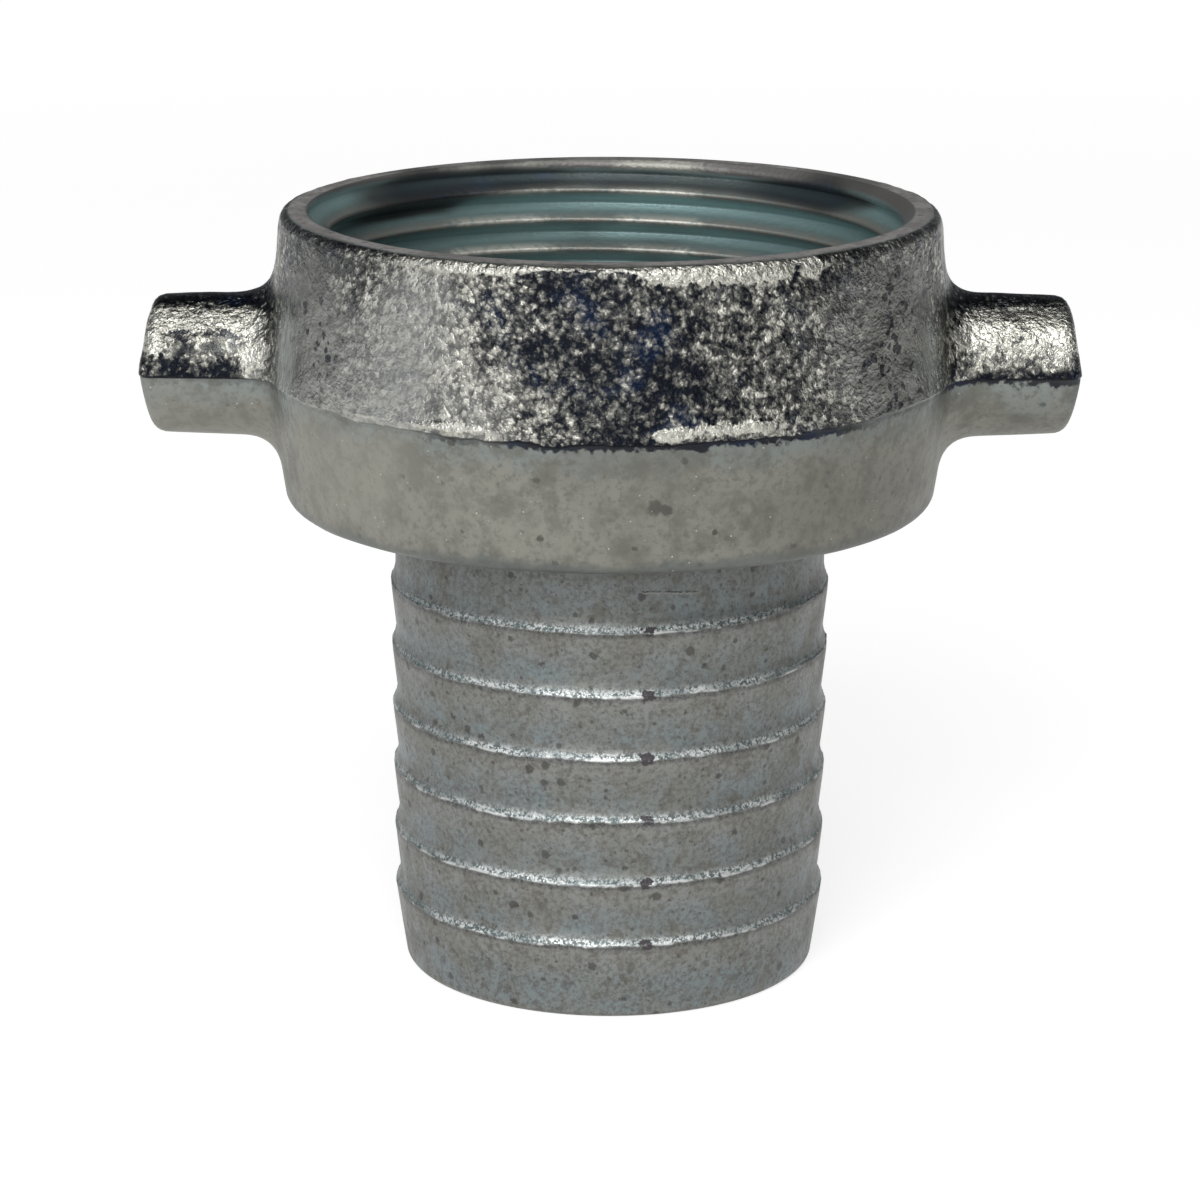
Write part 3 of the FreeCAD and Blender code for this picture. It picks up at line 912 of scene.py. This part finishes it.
def ragged_place(tree, place, size):
    """Shift a place by fine noise, so that what is drawn there gets a ragged edge."""
    inputs = {"Vector": place, "Scale": 1.4 / size, "Detail": 3.0, "Roughness": 0.65}
    shift = vector(tree, "ADD", put(tree, "TexNoise", inputs).outputs["Color"], (-0.5, -0.5, -0.5))
    reach = put(tree, "VectorMath", {0: shift.outputs[0], "Scale": 1.1 * size}, operation="SCALE")
    return vector(tree, "ADD", place, reach.outputs[0]).outputs[0]


def pitted_plating_with_painted_light():
    """Group: rounded grains of a rough casting under plating, with dark gaps between them.

    Two sizes of cells each hold one grain, and the grains lie in clumps. Puts out
    how bright the grain is, which follows its height: painted light on the grains'
    tops and painted shade in the gaps, less bright where the amount is higher;
    a height for the bump; and a few cells for painted glints.
    """
    group, given, result = start_group(
        "Pitted plating",
        [("Vector", "Vector", None), ("Grain size", "Float", 0.0006), ("Amount", "Float", 0.5)],
        ["Grain", "Height", "Glint"],
    )
    place = given["Vector"]
    scale = maths(group, "DIVIDE", 1.0, given["Grain size"])
    lumps, values = [], []
    for finer in (1.0, 2.1):
        cells = put(group, "TexVoronoi", {"Vector": place, "Scale": times(group, scale, finer)}).outputs
        values.append(put(group, "SeparateColor", {"Color": cells["Color"]}).outputs)
        lumps.append(fade(group, cells["Distance"], 0.0, 0.8, 1.0, 0.0))
    soft, clumps = [put(group, "TexNoise", {
        "Vector": place, "Scale": times(group, scale, share), "Detail": detail, "Roughness": 0.6,
    }).outputs["Fac"] for share, detail in ((0.9, 3.0), (0.45, 2.0))]
    height = plus(group, times(group, lumps[0], 0.5), times(group, lumps[1], 0.3), times(group, soft, 0.5))
    group.links.new(height, result["Height"])
    chance = plus(group, times(group, clumps, 1.2), times(group, values[0]["Green"], 0.12))
    # The grain's brightness follows its height: painted light on the tops, painted shade in the gaps.
    bright = plus(group, height, minus(group, chance, 0.36))
    bright = minus(group, bright, times(group, given["Amount"], 1.1))
    spread = put(group, "MapRange", {"Value": bright, "From Min": -0.25, "From Max": 0.66})
    group.links.new(spread.outputs["Result"], result["Grain"])
    group.links.new(fade(group, values[0]["Blue"], 0.7, 0.8), result["Glint"])
    return group


def scattered_specks():
    """Group: small dark specks. Each cell holds one, and its random value says how large."""
    group, given, result = start_group(
        "Scattered specks",
        [("Vector", "Vector", None), ("Spacing", "Float", 0.0008), ("Amount", "Float", 0.3)],
        ["Mask"],
    )
    scale = maths(group, "DIVIDE", 1.0, given["Spacing"])
    cells = put(group, "TexVoronoi", {"Vector": given["Vector"], "Scale": scale}).outputs
    value = put(group, "SeparateColor", {"Color": cells["Color"]}).outputs["Red"]
    reach = times(group, maths(group, "POWER", value, 3.0), given["Amount"])
    group.links.new(fade(group, minus(group, reach, cells["Distance"]), -0.05, 0.06), result["Mask"])
    return group


def chosen_spot():
    """Group: one round spot with a soft edge, at a centre and with a reach of its own."""
    group, given, result = start_group(
        "Chosen spot",
        [("Vector", "Vector", None), ("Centre", "Vector", None), ("Reach", "Float", 0.0004)],
        ["Mask"],
    )
    away = vector(group, "DISTANCE", given["Vector"], given["Centre"]).outputs["Value"]
    part = maths(group, "DIVIDE", away, given["Reach"])
    group.links.new(fade(group, part, 0.6, 1.1, 1.0, 0.0), result["Mask"])
    return group


def effects():
    """Get the shared node groups, made on first use."""
    made = bpy.data.node_groups
    return (
        made.get("Pitted plating") or pitted_plating_with_painted_light(),
        made.get("Scattered specks") or scattered_specks(),
        made.get("Chosen spot") or chosen_spot(),
    )


def start_material(name, slot):
    """Start a material of one Principled shader, and return its tree and the shader's inputs."""
    material = bpy.data.materials.new(name)
    material.use_nodes = True
    material["slot"] = slot
    tree = material.node_tree
    return material, tree, tree.nodes["Principled BSDF"].inputs


def add_bump(tree, shader, height, distance, strength=1.0):
    """Raise the shader's normal by a height."""
    bump = put(tree, "Bump", {"Strength": strength, "Distance": distance, "Height": height})
    tree.links.new(bump.outputs["Normal"], shader["Normal"])


def nut_patterns(tree, looks):
    """Read the nut's marks, and add the noises, grains and dark tone that its finishes share."""
    names = ("parting", "shade", "crest", "machined", "land", "worn", "lug", "fibre", "smooth", "bevel")
    at = SimpleNamespace(**dict(zip(names, marks_of(tree, *names))))
    at.place = object_place(tree)
    at.torn = ragged_place(tree, at.place, 0.5 * MM)
    at.ragged = swing(tree, at.place, 0.5 * MM, 3.0)
    at.loose = swing(tree, at.place, 2 * MM, 3.0)
    at.line = plus(tree, at.parting, times(tree, at.ragged, 0.5))
    inputs = {"Vector": at.torn, "Grain size": 0.5 * MM, "Amount": at.shade}
    grains = place_group(tree, effects()[0], inputs)
    at.grain, at.glint, at.height = grains["Grain"], grains["Glint"], grains["Height"]
    at.deep = mix(tree, fade(tree, noise(tree, at.place, 3 * MM, 2.0), 0.52, 0.7), looks.dark, looks.navy)
    at.calmer = fade(tree, plus(tree, at.smooth, times(tree, at.loose, 0.4)), 0.05, 0.5)
    streaky = vector(tree, "MULTIPLY", at.place, (1.0, 1.0, 0.22)).outputs[0]
    at.streaks = swing(tree, streaky, 0.3 * MM, 3.0, 0.65)
    return at


def upper_plating(tree, looks, at):
    """Colour above the parting line: grains with painted light on their tops and painted shade in the gaps,
    painted glints, smooth grey stretches, and edges of wear and painted highlight.
    """
    # Where the shade mark is low the gaps and tops turn pale grey: painted light.
    pale = fade(tree, at.shade, 0.2, 0.48, 1.0, 0.0)
    gap = mix(tree, larger(tree, pale, times(tree, at.calmer, 0.6)), at.deep, looks.gap)
    top = coats(tree, looks.bright, (at.calmer, tint(looks.calm, 1.2)), (pale, tint(looks.calm, 1.15)))
    grains = mix(tree, maths(tree, "POWER", at.grain, 2.4), gap, top)
    # Painted glints on the brightest grains.
    shining = times(tree, fade(tree, at.grain, 0.65, 0.95), turned_into(tree, pale, 1.0, 0.35), at.glint)
    polish = fade(tree, plus(tree, at.smooth, times(tree, plus(tree, at.loose, at.ragged), 0.5)), 0.3, 0.75)
    cloudy = fade(tree, noise(tree, at.place, 0.8 * MM, 3.0, 0.65), 0.35, 0.75, 0.0, 0.45)
    crowded = fade(tree, noise(tree, at.place, 2.2 * MM, 2.0), 0.42, 0.6, 0.3, 1.5)
    # The smooth stretches follow the shade mark too, so they carry its painted light and dark reflection.
    calm = coats(
        tree, looks.calm,
        (fade(tree, at.shade, 0.2, 0.42), tint(looks.calm, 0.62)), (cloudy, looks.stain),
        (times(tree, scatter(tree, at.torn, 0.55 * MM, crowded), 0.8), at.deep),
    )
    broken = plus(
        tree, times(tree, at.loose, 0.5), times(tree, at.ragged, 1.1), times(tree, at.streaks, at.lug),
        turned_into(tree, at.grain, -0.16, 0.16),
    )
    # Cream of wear and of painted highlights.
    bare_and_highlit = fade(tree, plus(tree, at.worn, broken), 0.34, 0.62)
    greyer = times(tree, fade(tree, at.ragged, -0.1, 0.14), turned_into(tree, at.lug, 1.0, 0.8))
    rubbed_and_highlit = mix(tree, greyer, looks.cream, tint(looks.bright, 0.85))
    return coats(
        tree, grains, (shining, looks.cream), (polish, calm), (bare_and_highlit, rubbed_and_highlit),
        (spots_at(tree, at.torn, RIM_NICK), at.deep),
    )


def lower_plating(tree, looks, at):
    """Colour below the parting line: matte grey with clouds, specks and stains, painted shade at the foot,
    painted fine glints, and painted light on the left and shade on the right.
    """
    place, darker_matte = at.place, tint(looks.matte, 0.55)
    bluish = tint(looks.matte, (0.84, 1.0, 1.16))
    under_line = plus(tree, at.parting, times(tree, at.loose, 5.0))
    at_foot = minus(tree, times(tree, at.loose, 1.5), at.parting)
    cells = put(tree, "TexVoronoi", {"Vector": place, "Scale": 1 / (0.6 * MM)}).outputs
    return coats(
        tree, looks.matte,
        (fade(tree, under_line, -3.0, -0.3, 0.0, 0.7), bluish),
        (fade(tree, noise(tree, place, 2.4 * MM, 4.0, 0.68), 0.42, 0.66, 0.0, 0.8), darker_matte),
        (fade(tree, noise(tree, place, 0.5 * MM, 3.0, 0.7), 0.46, 0.7, 0.0, 0.75), darker_matte),
        (times(tree, scatter(tree, at.torn, 1.2 * MM, 0.22), 0.65), looks.stain),
        (times(tree, spots_at(tree, at.torn, STAINS), 0.8), looks.stain),
        # Painted shade on the foot's rounding.
        (fade(tree, at_foot, 8.2, 8.9, 0.0, 0.6), tint(bluish, 0.5)),
        # Painted glints: tiny bright dots.
        (times(tree, fade(tree, cells["Distance"], 0.06, 0.12, 1.0, 0.0), at.glint), looks.cream),
        # Painted shade and light from the shade mark: darker on the right, lighter on the left.
        (fade(tree, at.shade, 0.4, 0.75, 0.0, 0.5), darker_matte),
        (fade(tree, at.shade, 0.4, 0.05, 0.0, 0.4), tint(looks.matte, 1.5)),
    )


def inner_plating(tree, looks, at):
    """Colour of the machined surfaces: teal thread painted lighter deep in its grooves and darker further
    down, crests of wear with painted glints, a grey land, and an entry bevel with painted glints.
    """
    high = put(tree, "SeparateXYZ", {"Vector": at.place}).outputs["Z"]
    inputs = {"W": times(tree, high, 6000.0), "Scale": 1.0, "Detail": 2.0}
    rings = put(tree, "TexNoise", inputs, noise_dimensions="1D").outputs["Fac"]
    sunk = vector(tree, "MULTIPLY", at.place, (1.0, 1.0, 0.0)).outputs[0]
    sunk = put(tree, "VectorMath", {0: sunk}, operation="LENGTH").outputs["Value"]
    worn_land = coats(
        tree, looks.rim, (fade(tree, at.loose, -0.12, 0.15, 0.0, 0.6), tint(looks.rim, 0.5)),
        (fade(tree, at.ragged, 0.0, 0.2, 0.0, 0.5), looks.stain),
    )
    # Painted reflections in stretches along the entry bevel and the crests.
    stretch = fade(tree, plus(tree, at.worn, at.loose, times(tree, at.ragged, 0.5)), 0.25, 0.75)
    bevel_with_painted_glints = mix(tree, stretch, tint(looks.rim, 0.36), tint(looks.cream, 0.5))
    crest_wear_and_glints = mix(tree, stretch, tint(looks.cream, 0.38), tint(looks.cream, 0.84))
    gloomy = mix(tree, fade(tree, at.shade, 0.6, 0.85), (0.06, 0.062, 0.06), at.deep)
    darker_teal = tint(looks.machined, 0.5)
    return coats(
        tree, looks.machined,
        (fade(tree, rings, 0.3, 0.7, 0.0, 0.3), darker_teal),
        (fade(tree, at.ragged, -0.15, 0.2, 0.0, 0.4), darker_teal),
        (fade(tree, at.loose, 0.05, 0.25, 0.0, 0.35), looks.matte),
        # Painted light deep in the grooves.
        (fade(tree, sunk, 19.8 * MM, 20.9 * MM, 0.0, 0.75), tint(looks.machined, 1.7)),
        # Painted shade: darker further down the thread.
        (fade(tree, high, 47.5 * MM, 50.5 * MM, 0.4, 0.0), darker_teal),
        (at.land, worn_land), (at.bevel, bevel_with_painted_glints),
        (times(tree, at.crest, fade(tree, at.ragged, -0.2, 0.05, 0.5, 1.0)), crest_wear_and_glints),
        (times(tree, fade(tree, at.shade, 0.48, 0.7), 0.9), gloomy),
    )


def nut_finish(looks):
    """Finish of the nut: pitted above the parting line, matte below, machined inside, each with painted
    light and shade.
    """
    material, tree, shader = start_material("pitted_plating_with_painted_light", "plated_nut")
    at = nut_patterns(tree, looks)
    above = fade(tree, at.line, -0.04, 0.08)
    cast = minus(tree, 1.0, at.machined)
    faint = times(tree, fade(tree, at.shade, 0.25, 0.45, 0.1, 1.0), turned_into(tree, at.calmer, 1.0, 0.25))
    # A painted shadow and dark reflection in a ragged band just under the ledge at the parting line.
    wavy = plus(tree, at.parting, plus(tree, times(tree, at.loose, 0.9), at.ragged))
    painted_shadow_line = times(tree, fade(tree, wavy, -0.5, -0.25), fade(tree, at.line, 0.02, 0.16, 1.0, 0.0), faint)
    hairs = times(tree, at.fibre, fade(tree, at.streaks, -0.08, 0.1, 0.3, 1.0), 0.9)
    surface = coats(
        tree, lower_plating(tree, looks, at), (above, upper_plating(tree, looks, at)),
        (painted_shadow_line, at.deep), (hairs, (0.56, 0.6, 0.585)), (at.machined, inner_plating(tree, looks, at)),
    )
    plug(tree, shader["Base Color"], surface)

    cast_above = times(tree, above, cast)
    shiny = times(tree, cast_above, fade(tree, at.fibre, 0.2, 0.8, 1.0, 0.15))
    plug(tree, shader["Roughness"], turned_into(tree, cast_above, 0.5, 0.3))
    plug(tree, shader["Metallic"], turned_into(tree, shiny, 0.55, 1.0))

    cast_smooth = times(tree, fade(tree, at.parting, -0.1, 0.1), cast)
    rough_share = times(
        tree, cast_smooth, fade(tree, at.shade, 0.2, 0.5, 0.35, 1.0),
        fade(tree, at.smooth, 0.2, 0.75, 1.0, 0.25),
    )
    bare_stretch = times(tree, fade(tree, at.worn, 0.25, 0.7), cast_smooth)
    blobs = times(tree, noise(tree, at.place, 0.9 * MM, 2.0), bare_stretch, 1.2)
    fine = times(tree, noise(tree, at.place, 0.35 * MM, 2.0, 0.6), 0.25)
    add_bump(tree, shader, plus(tree, times(tree, at.height, rough_share), fine, blobs), 0.17 * MM)
    return material


def neck_scratch(tree, surface, place, waver):
    """Draw a short scratch across the neck in front: a dark line over a bright one, both broken."""
    x, y, z = put(tree, "SeparateXYZ", {"Vector": place}).outputs
    slope = plus(tree, z, times(tree, x, 0.075), times(tree, waver, 0.35 * MM))
    across = maths(tree, "ABSOLUTE", minus(tree, x, 4.0 * MM))
    scratched = times(
        tree, fade(tree, across, 1.6 * MM, 2.2 * MM, 1.0, 0.0), fade(tree, y, -13 * MM, -12 * MM, 1.0, 0.0),
        fade(tree, waver, -0.14, 0.05),
    )
    for height, tone in ((31.05 * MM, (0.02, 0.025, 0.025)), (30.94 * MM, (0.3, 0.3, 0.27))):
        away = maths(tree, "ABSOLUTE", minus(tree, slope, height))
        line = fade(tree, away, 0.03 * MM, 0.09 * MM, 1.0, 0.0)
        surface = mix(tree, times(tree, line, scratched, 0.8), surface, tone)
    return surface


def shank_finish(looks):
    """Finish of the shank: dull plating with fine specks, crests of wear with a painted highlight, painted
    sparkles on the shoulders and painted shade under the crests.
    """
    material, tree, shader = start_material("dull_plating_with_painted_light", "plated_shank")
    edge, shoulder, under, ramp, low = marks_of(tree, "edge", "shoulder", "under", "ramp", "low")
    place = object_place(tree)
    torn = ragged_place(tree, place, 0.3 * MM)
    grains = place_group(tree, effects()[0], {"Vector": torn, "Grain size": 0.2 * MM, "Amount": 0.5})
    cloud = fade(tree, noise(tree, place, 3 * MM, 4.0, 0.6), 0.3, 0.75)
    blotch = fade(tree, noise(tree, place, 0.9 * MM, 4.0, 0.7), 0.52, 0.64)
    mottle = fade(tree, noise(tree, place, 0.35 * MM, 3.0, 0.75), 0.4, 0.66)
    speck = (0.05, 0.045, 0.04)
    surface = coats(
        tree, looks.plating, (ramp, looks.blue),
        (times(tree, cloud, 0.85), tint(looks.plating, (0.84, 0.81, 0.74))),
        (times(tree, blotch, turned_into(tree, low, 0.16, 0.6)), (0.085, 0.08, 0.07)),
        (times(tree, mottle, 0.62), (0.1, 0.095, 0.085)),
        (fade(tree, noise(tree, place, 1.3 * MM, 4.0, 0.72), 0.54, 0.66, 0.0, 0.5), (0.1, 0.088, 0.068)),
        (times(tree, scatter(tree, torn, 0.4 * MM, 0.4), 0.5), speck),
        (times(tree, scatter(tree, torn, 1.1 * MM, 0.34), 0.72), speck),
    )
    waver = swing(tree, place, 0.5 * MM, 3.0, 0.65)
    surface = neck_scratch(tree, surface, place, waver)

    # Painted sparkles of light on the barbs' shoulders, fewer towards the sides, where less light falls.
    aside = maths(tree, "ABSOLUTE", put(tree, "SeparateXYZ", {"Vector": place}).outputs["X"])
    dense = fade(tree, noise(tree, place, 3.5 * MM, 3.0), 0.35, 0.6, 0.45, 1.0)
    dense = times(tree, dense, fade(tree, aside, 9 * MM, 15 * MM, 1.0, 0.45))
    sparkle = times(tree, shoulder, fade(tree, grains["Grain"], 0.35, 0.75, 0.0, 1.0), dense)
    # Painted shade just under each crest.
    painted_shade_under_crest = times(tree, under, fade(tree, grains["Grain"], 0.2, 0.7, 1.0, 0.4), 0.85)
    ragged = fade(tree, noise(tree, place, 2.2 * MM, 4.0, 0.65), 0.5, 0.6)
    seam = maths(tree, "ABSOLUTE", vector(tree, "DOT_PRODUCT", place, (0.986, 0.168, 0.0)).outputs["Value"])
    seam = fade(tree, seam, 0.1 * MM, 0.85 * MM, 1.0, 0.0)
    smear = times(tree, seam, larger(tree, shoulder, larger(tree, edge, under)))
    smear = fade(tree, plus(tree, smear, times(tree, waver, 2.2)), 0.5, 0.68)
    surface = coats(
        # The bright crest line is wear with a painted highlight.
        tree, surface, (times(tree, shoulder, 0.7), looks.teal), (sparkle, looks.edge),
        (painted_shade_under_crest, (0.03, 0.035, 0.038)), (times(tree, edge, ragged), looks.edge),
        (times(tree, smear, fade(tree, seam, 0.0, 0.3)), (0.06, 0.054, 0.06)),
    )
    plug(tree, shader["Base Color"], surface)
    plug(tree, shader["Metallic"], 0.45)
    plug(tree, shader["Roughness"], turned_into(tree, cloud, 0.42, 0.56))
    grain = times(tree, noise(tree, place, 0.3 * MM, 2.0, 0.65), 0.5)
    crystals = times(tree, noise(tree, place, 0.16 * MM, 1.0), turned_into(tree, shoulder, 0.1, 1.0))
    add_bump(tree, shader, plus(tree, grain, crystals), 0.045 * MM)
    return material


def washer_finish(looks):
    """Finish of the washer: matte black rubber with a faint dusty bloom."""
    material, tree, shader = start_material("black_rubber", "black_rubber")
    place = object_place(tree)
    bloom = fade(tree, noise(tree, place, 2.5 * MM, 5.0, 0.6), 0.4, 0.8)
    plug(tree, shader["Base Color"], mix(tree, bloom, looks.rubber, tint(looks.rubber, 2.6)))
    plug(tree, shader["Roughness"], turned_into(tree, bloom, 0.5, 0.75))
    add_bump(tree, shader, noise(tree, place, 0.3 * MM, 3.0), 0.03 * MM, 0.5)
    return material


def dress(name, surface, finish, body, node):
    """Make one piece from its surface and finish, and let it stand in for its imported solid."""
    points, marks = surface
    piece = add_grid(name, points, marks)
    piece.data.materials.append(finish)
    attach(piece, body)
    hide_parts(node)
    return piece


class COUPLING_OT_nut(Operator):
    """Build the cast swivel nut with its two lugs and its thread"""

    bl_idname = "coupling.nut"
    bl_label = "Swivel nut"

    def execute(self, context):
        """Build the nut from the sizes in the sidebar."""
        looks = context.scene.coupling_nut
        dress("plated_swivel_nut", nut_surface(looks), nut_finish(looks), "nut", "swivel_nut")
        return {"FINISHED"}


class COUPLING_OT_shank(Operator):
    """Build the barbed hose shank with its flange"""

    bl_idname = "coupling.shank"
    bl_label = "Hose shank"

    def execute(self, context):
        """Build the shank from the sizes in the sidebar."""
        looks = context.scene.coupling_shank
        dress(
            "plated_hose_shank", shank_surface(looks), shank_finish(looks),
            "shank", "hose_shank",
        )
        return {"FINISHED"}


class COUPLING_OT_washer(Operator):
    """Build the flat rubber washer inside the nut"""

    bl_idname = "coupling.washer"
    bl_label = "Washer"

    def execute(self, context):
        """Build the washer from the sizes in the sidebar."""
        looks = context.scene.coupling_washer
        dress("rubber_washer", washer_surface(looks), washer_finish(looks), "shank", "gasket")
        return {"FINISHED"}


def white_to_the_eye(tree):
    """Get 1 for rays from the camera and through gloss or glass, and 0 for the rest."""
    path = put(tree, "LightPath", {}).outputs
    return larger(tree, path["Is Camera Ray"], path["Is Glossy Ray"], path["Is Transmission Ray"])


def stage_sheet(name, points, material_name):
    """Stand a sheet of quads, made from a grid of points, on the stage.

    Returns its object and its material's empty node tree. No light is sampled
    from what the sheet glows with.
    """
    corners = np.arange(points.shape[0] * points.shape[1]).reshape(points.shape[:2])
    quads = np.stack([corners[:-1, :-1], corners[1:, :-1], corners[1:, 1:], corners[:-1, 1:]], axis=2)
    mesh = bpy.data.meshes.new(name)
    mesh.from_pydata(points.reshape(-1, 3).tolist(), [], quads.reshape(-1, 4).tolist())
    sheet = bpy.data.objects.new(name, mesh)
    bpy.context.scene.collection.objects.link(sheet)
    material = bpy.data.materials.new(material_name)
    material.cycles.emission_sampling = "NONE"
    material.use_nodes = True
    material.node_tree.nodes.clear()
    mesh.materials.append(material)
    return sheet, material.node_tree


def lay_floor(looks):
    """Lay a round pale floor that keeps the shadow and runs into the white surroundings."""
    points = turned(np.array([0, 0.05, 0.12, 0.3, 0.8, 2.5])[:, None], 0.0, even_angles(96))
    _, tree = stage_sheet("floor", points, "pale_floor")
    paint = put(tree, "BsdfDiffuse", {"Color": (*looks.floor, 1)})
    away = put(tree, "VectorMath", {0: object_place(tree)}, operation="LENGTH").outputs["Value"]
    strength = times(tree, white_to_the_eye(tree), fade(tree, away, 0.25, 0.9, 0.78, 1.0))
    glow = put(tree, "Emission", {"Color": (1, 1, 1, 1), "Strength": strength})
    both = put(tree, "AddShader", {0: paint.outputs[0], 1: glow.outputs[0]})
    put(tree, "OutputMaterial", {"Surface": both.outputs[0]})


def stand_dark_tent():
    """Stand a dark tent round the coupling, which only the plating's reflections see.

    It is a ball with a round opening over the front, through which the lamp shows.
    Its left wall is pale, and it lightens towards the opening and low at the back.
    """
    radius, opening, lean = 0.7, math.radians(29), math.radians(63)
    towards = np.array([0, -math.cos(lean), math.sin(lean)])
    across = np.array([1.0, 0, 0])
    upward = np.cross(towards, across)
    polar = np.linspace(opening, math.pi * 0.99, 40)[:, None, None]
    turn = even_angles(96)[None, :, None]
    points = radius * (
        np.cos(polar) * towards + np.sin(polar) * (np.cos(turn) * across + np.sin(turn) * upward)
    )
    tent, tree = stage_sheet("dark_tent", points, "dark_cloth")
    tent.visible_camera = tent.visible_diffuse = tent.visible_shadow = False
    place = object_place(tree)
    _, y, z = put(tree, "SeparateXYZ", {"Vector": place}).outputs
    leftward = vector(tree, "DOT_PRODUCT", place, (-0.87, -0.5, 0.0)).outputs["Value"]
    left = fade(tree, leftward, 0.4 * radius, radius, 0.0, 0.5)
    low = fade(tree, z, 0.15 * radius, 0.4 * radius, 1.0, 0.0)
    back = times(tree, low, fade(tree, y, 0.1 * radius, 0.8 * radius, 0.0, 0.2))
    before = fade(tree, y, -0.3 * radius, 0.1 * radius, 1.0, 0.0)
    high = times(tree, fade(tree, z, 0.1 * radius, 0.6 * radius, 0.0, 0.4), before)
    strength = plus(tree, left, back, high, 0.04)
    cloth = put(tree, "Emission", {"Color": (0.93, 0.97, 1.05, 1), "Strength": strength})
    put(tree, "OutputMaterial", {"Surface": cloth.outputs[0]})


def hang_lamp(name, place, size, watts):
    """Hang a soft square lamp that shines on the coupling."""
    lamp = bpy.data.lights.new(name, "AREA")
    lamp.shape, lamp.size, lamp.energy = "SQUARE", size, watts
    holder = bpy.data.objects.new(name, lamp)
    holder.location = place
    middle = Vector((0, 0, 0.03))
    holder.rotation_euler = (middle - Vector(place)).to_track_quat("-Z", "Y").to_euler()
    bpy.context.scene.collection.objects.link(holder)


class COUPLING_OT_stage(Operator):
    """Set the floor, the soft lamps, the surroundings and the camera"""

    bl_idname = "coupling.stage"
    bl_label = "Stage and camera"

    def execute(self, context):
        """Set the stage from the values in the sidebar."""
        looks = context.scene.coupling_stage
        lay_floor(looks)
        stand_dark_tent()
        hang_lamp("overhead", (0.0, -0.42, 0.85), 0.9, 3.4)
        hang_lamp("front_left", (-0.18, -0.79, 0.53), 0.6, 6.8)
        world = bpy.data.worlds.new("white_surroundings")
        context.scene.world = world
        world.use_nodes = True
        tree = world.node_tree
        back = tree.nodes["Background"]
        strength = fade(tree, white_to_the_eye(tree), 0.0, 1.0, 0.14, 1.0)
        tree.links.new(strength, back.inputs["Strength"])
        back.inputs["Color"].default_value = (1, 1, 1, 1)

        camera = bpy.data.objects.new("camera", bpy.data.cameras.new("camera"))
        camera.data.lens, camera.data.sensor_width = looks.lens, 36
        camera.data.clip_start = 0.01
        level = math.cos(looks.elevation) * looks.distance
        height = looks.aim_height + math.sin(looks.elevation) * looks.distance
        camera.location = (looks.aim_across, -level, height)
        tilt = Matrix.Rotation(math.pi / 2 - looks.elevation, 3, "X")
        camera.rotation_euler = (tilt @ Matrix.Rotation(looks.roll, 3, "Z")).to_euler()
        context.scene.collection.objects.link(camera)
        context.scene.camera = camera
        context.scene.view_settings.view_transform = "Standard"
        return {"FINISHED"}


class COUPLING_PT_sidebar(Panel):
    """Lists what the coupling is built from"""

    bl_label = "Swivel hose coupling"
    bl_idname = "COUPLING_PT_sidebar"
    bl_space_type = "VIEW_3D"
    bl_region_type = "UI"
    bl_category = "Coupling"

    def draw(self, context):
        """List each operator with its sizes and colours under it."""
        for action, group in (
            ("coupling.nut", "coupling_nut"),
            ("coupling.shank", "coupling_shank"),
            ("coupling.washer", "coupling_washer"),
            ("coupling.stage", "coupling_stage"),
        ):
            box = self.layout.box()
            box.operator(action)
            looks = getattr(context.scene, group)
            for name in looks.bl_rna.properties.keys():
                if name not in ("rna_type", "name"):
                    box.prop(looks, name)


CLASSES = (
    NutLooks, ShankLooks, WasherLooks, StageLooks,
    COUPLING_OT_nut, COUPLING_OT_shank, COUPLING_OT_washer, COUPLING_OT_stage,
    COUPLING_PT_sidebar,
)


def register():
    """Register the classes and hang their values on the scene."""
    for each in CLASSES:
        bpy.utils.register_class(each)
    bpy.types.Scene.coupling_nut = PointerProperty(type=NutLooks)
    bpy.types.Scene.coupling_shank = PointerProperty(type=ShankLooks)
    bpy.types.Scene.coupling_washer = PointerProperty(type=WasherLooks)
    bpy.types.Scene.coupling_stage = PointerProperty(type=StageLooks)


def unregister():
    """Take the values off the scene and the classes out of Blender."""
    del bpy.types.Scene.coupling_nut, bpy.types.Scene.coupling_shank
    del bpy.types.Scene.coupling_washer, bpy.types.Scene.coupling_stage
    for each in reversed(CLASSES):
        bpy.utils.unregister_class(each)


def main():
    """Build every piece and the stage."""
    register()
    bpy.ops.coupling.nut()
    bpy.ops.coupling.shank()
    bpy.ops.coupling.washer()
    bpy.ops.coupling.stage()


if __name__ == "__main__":
    main()
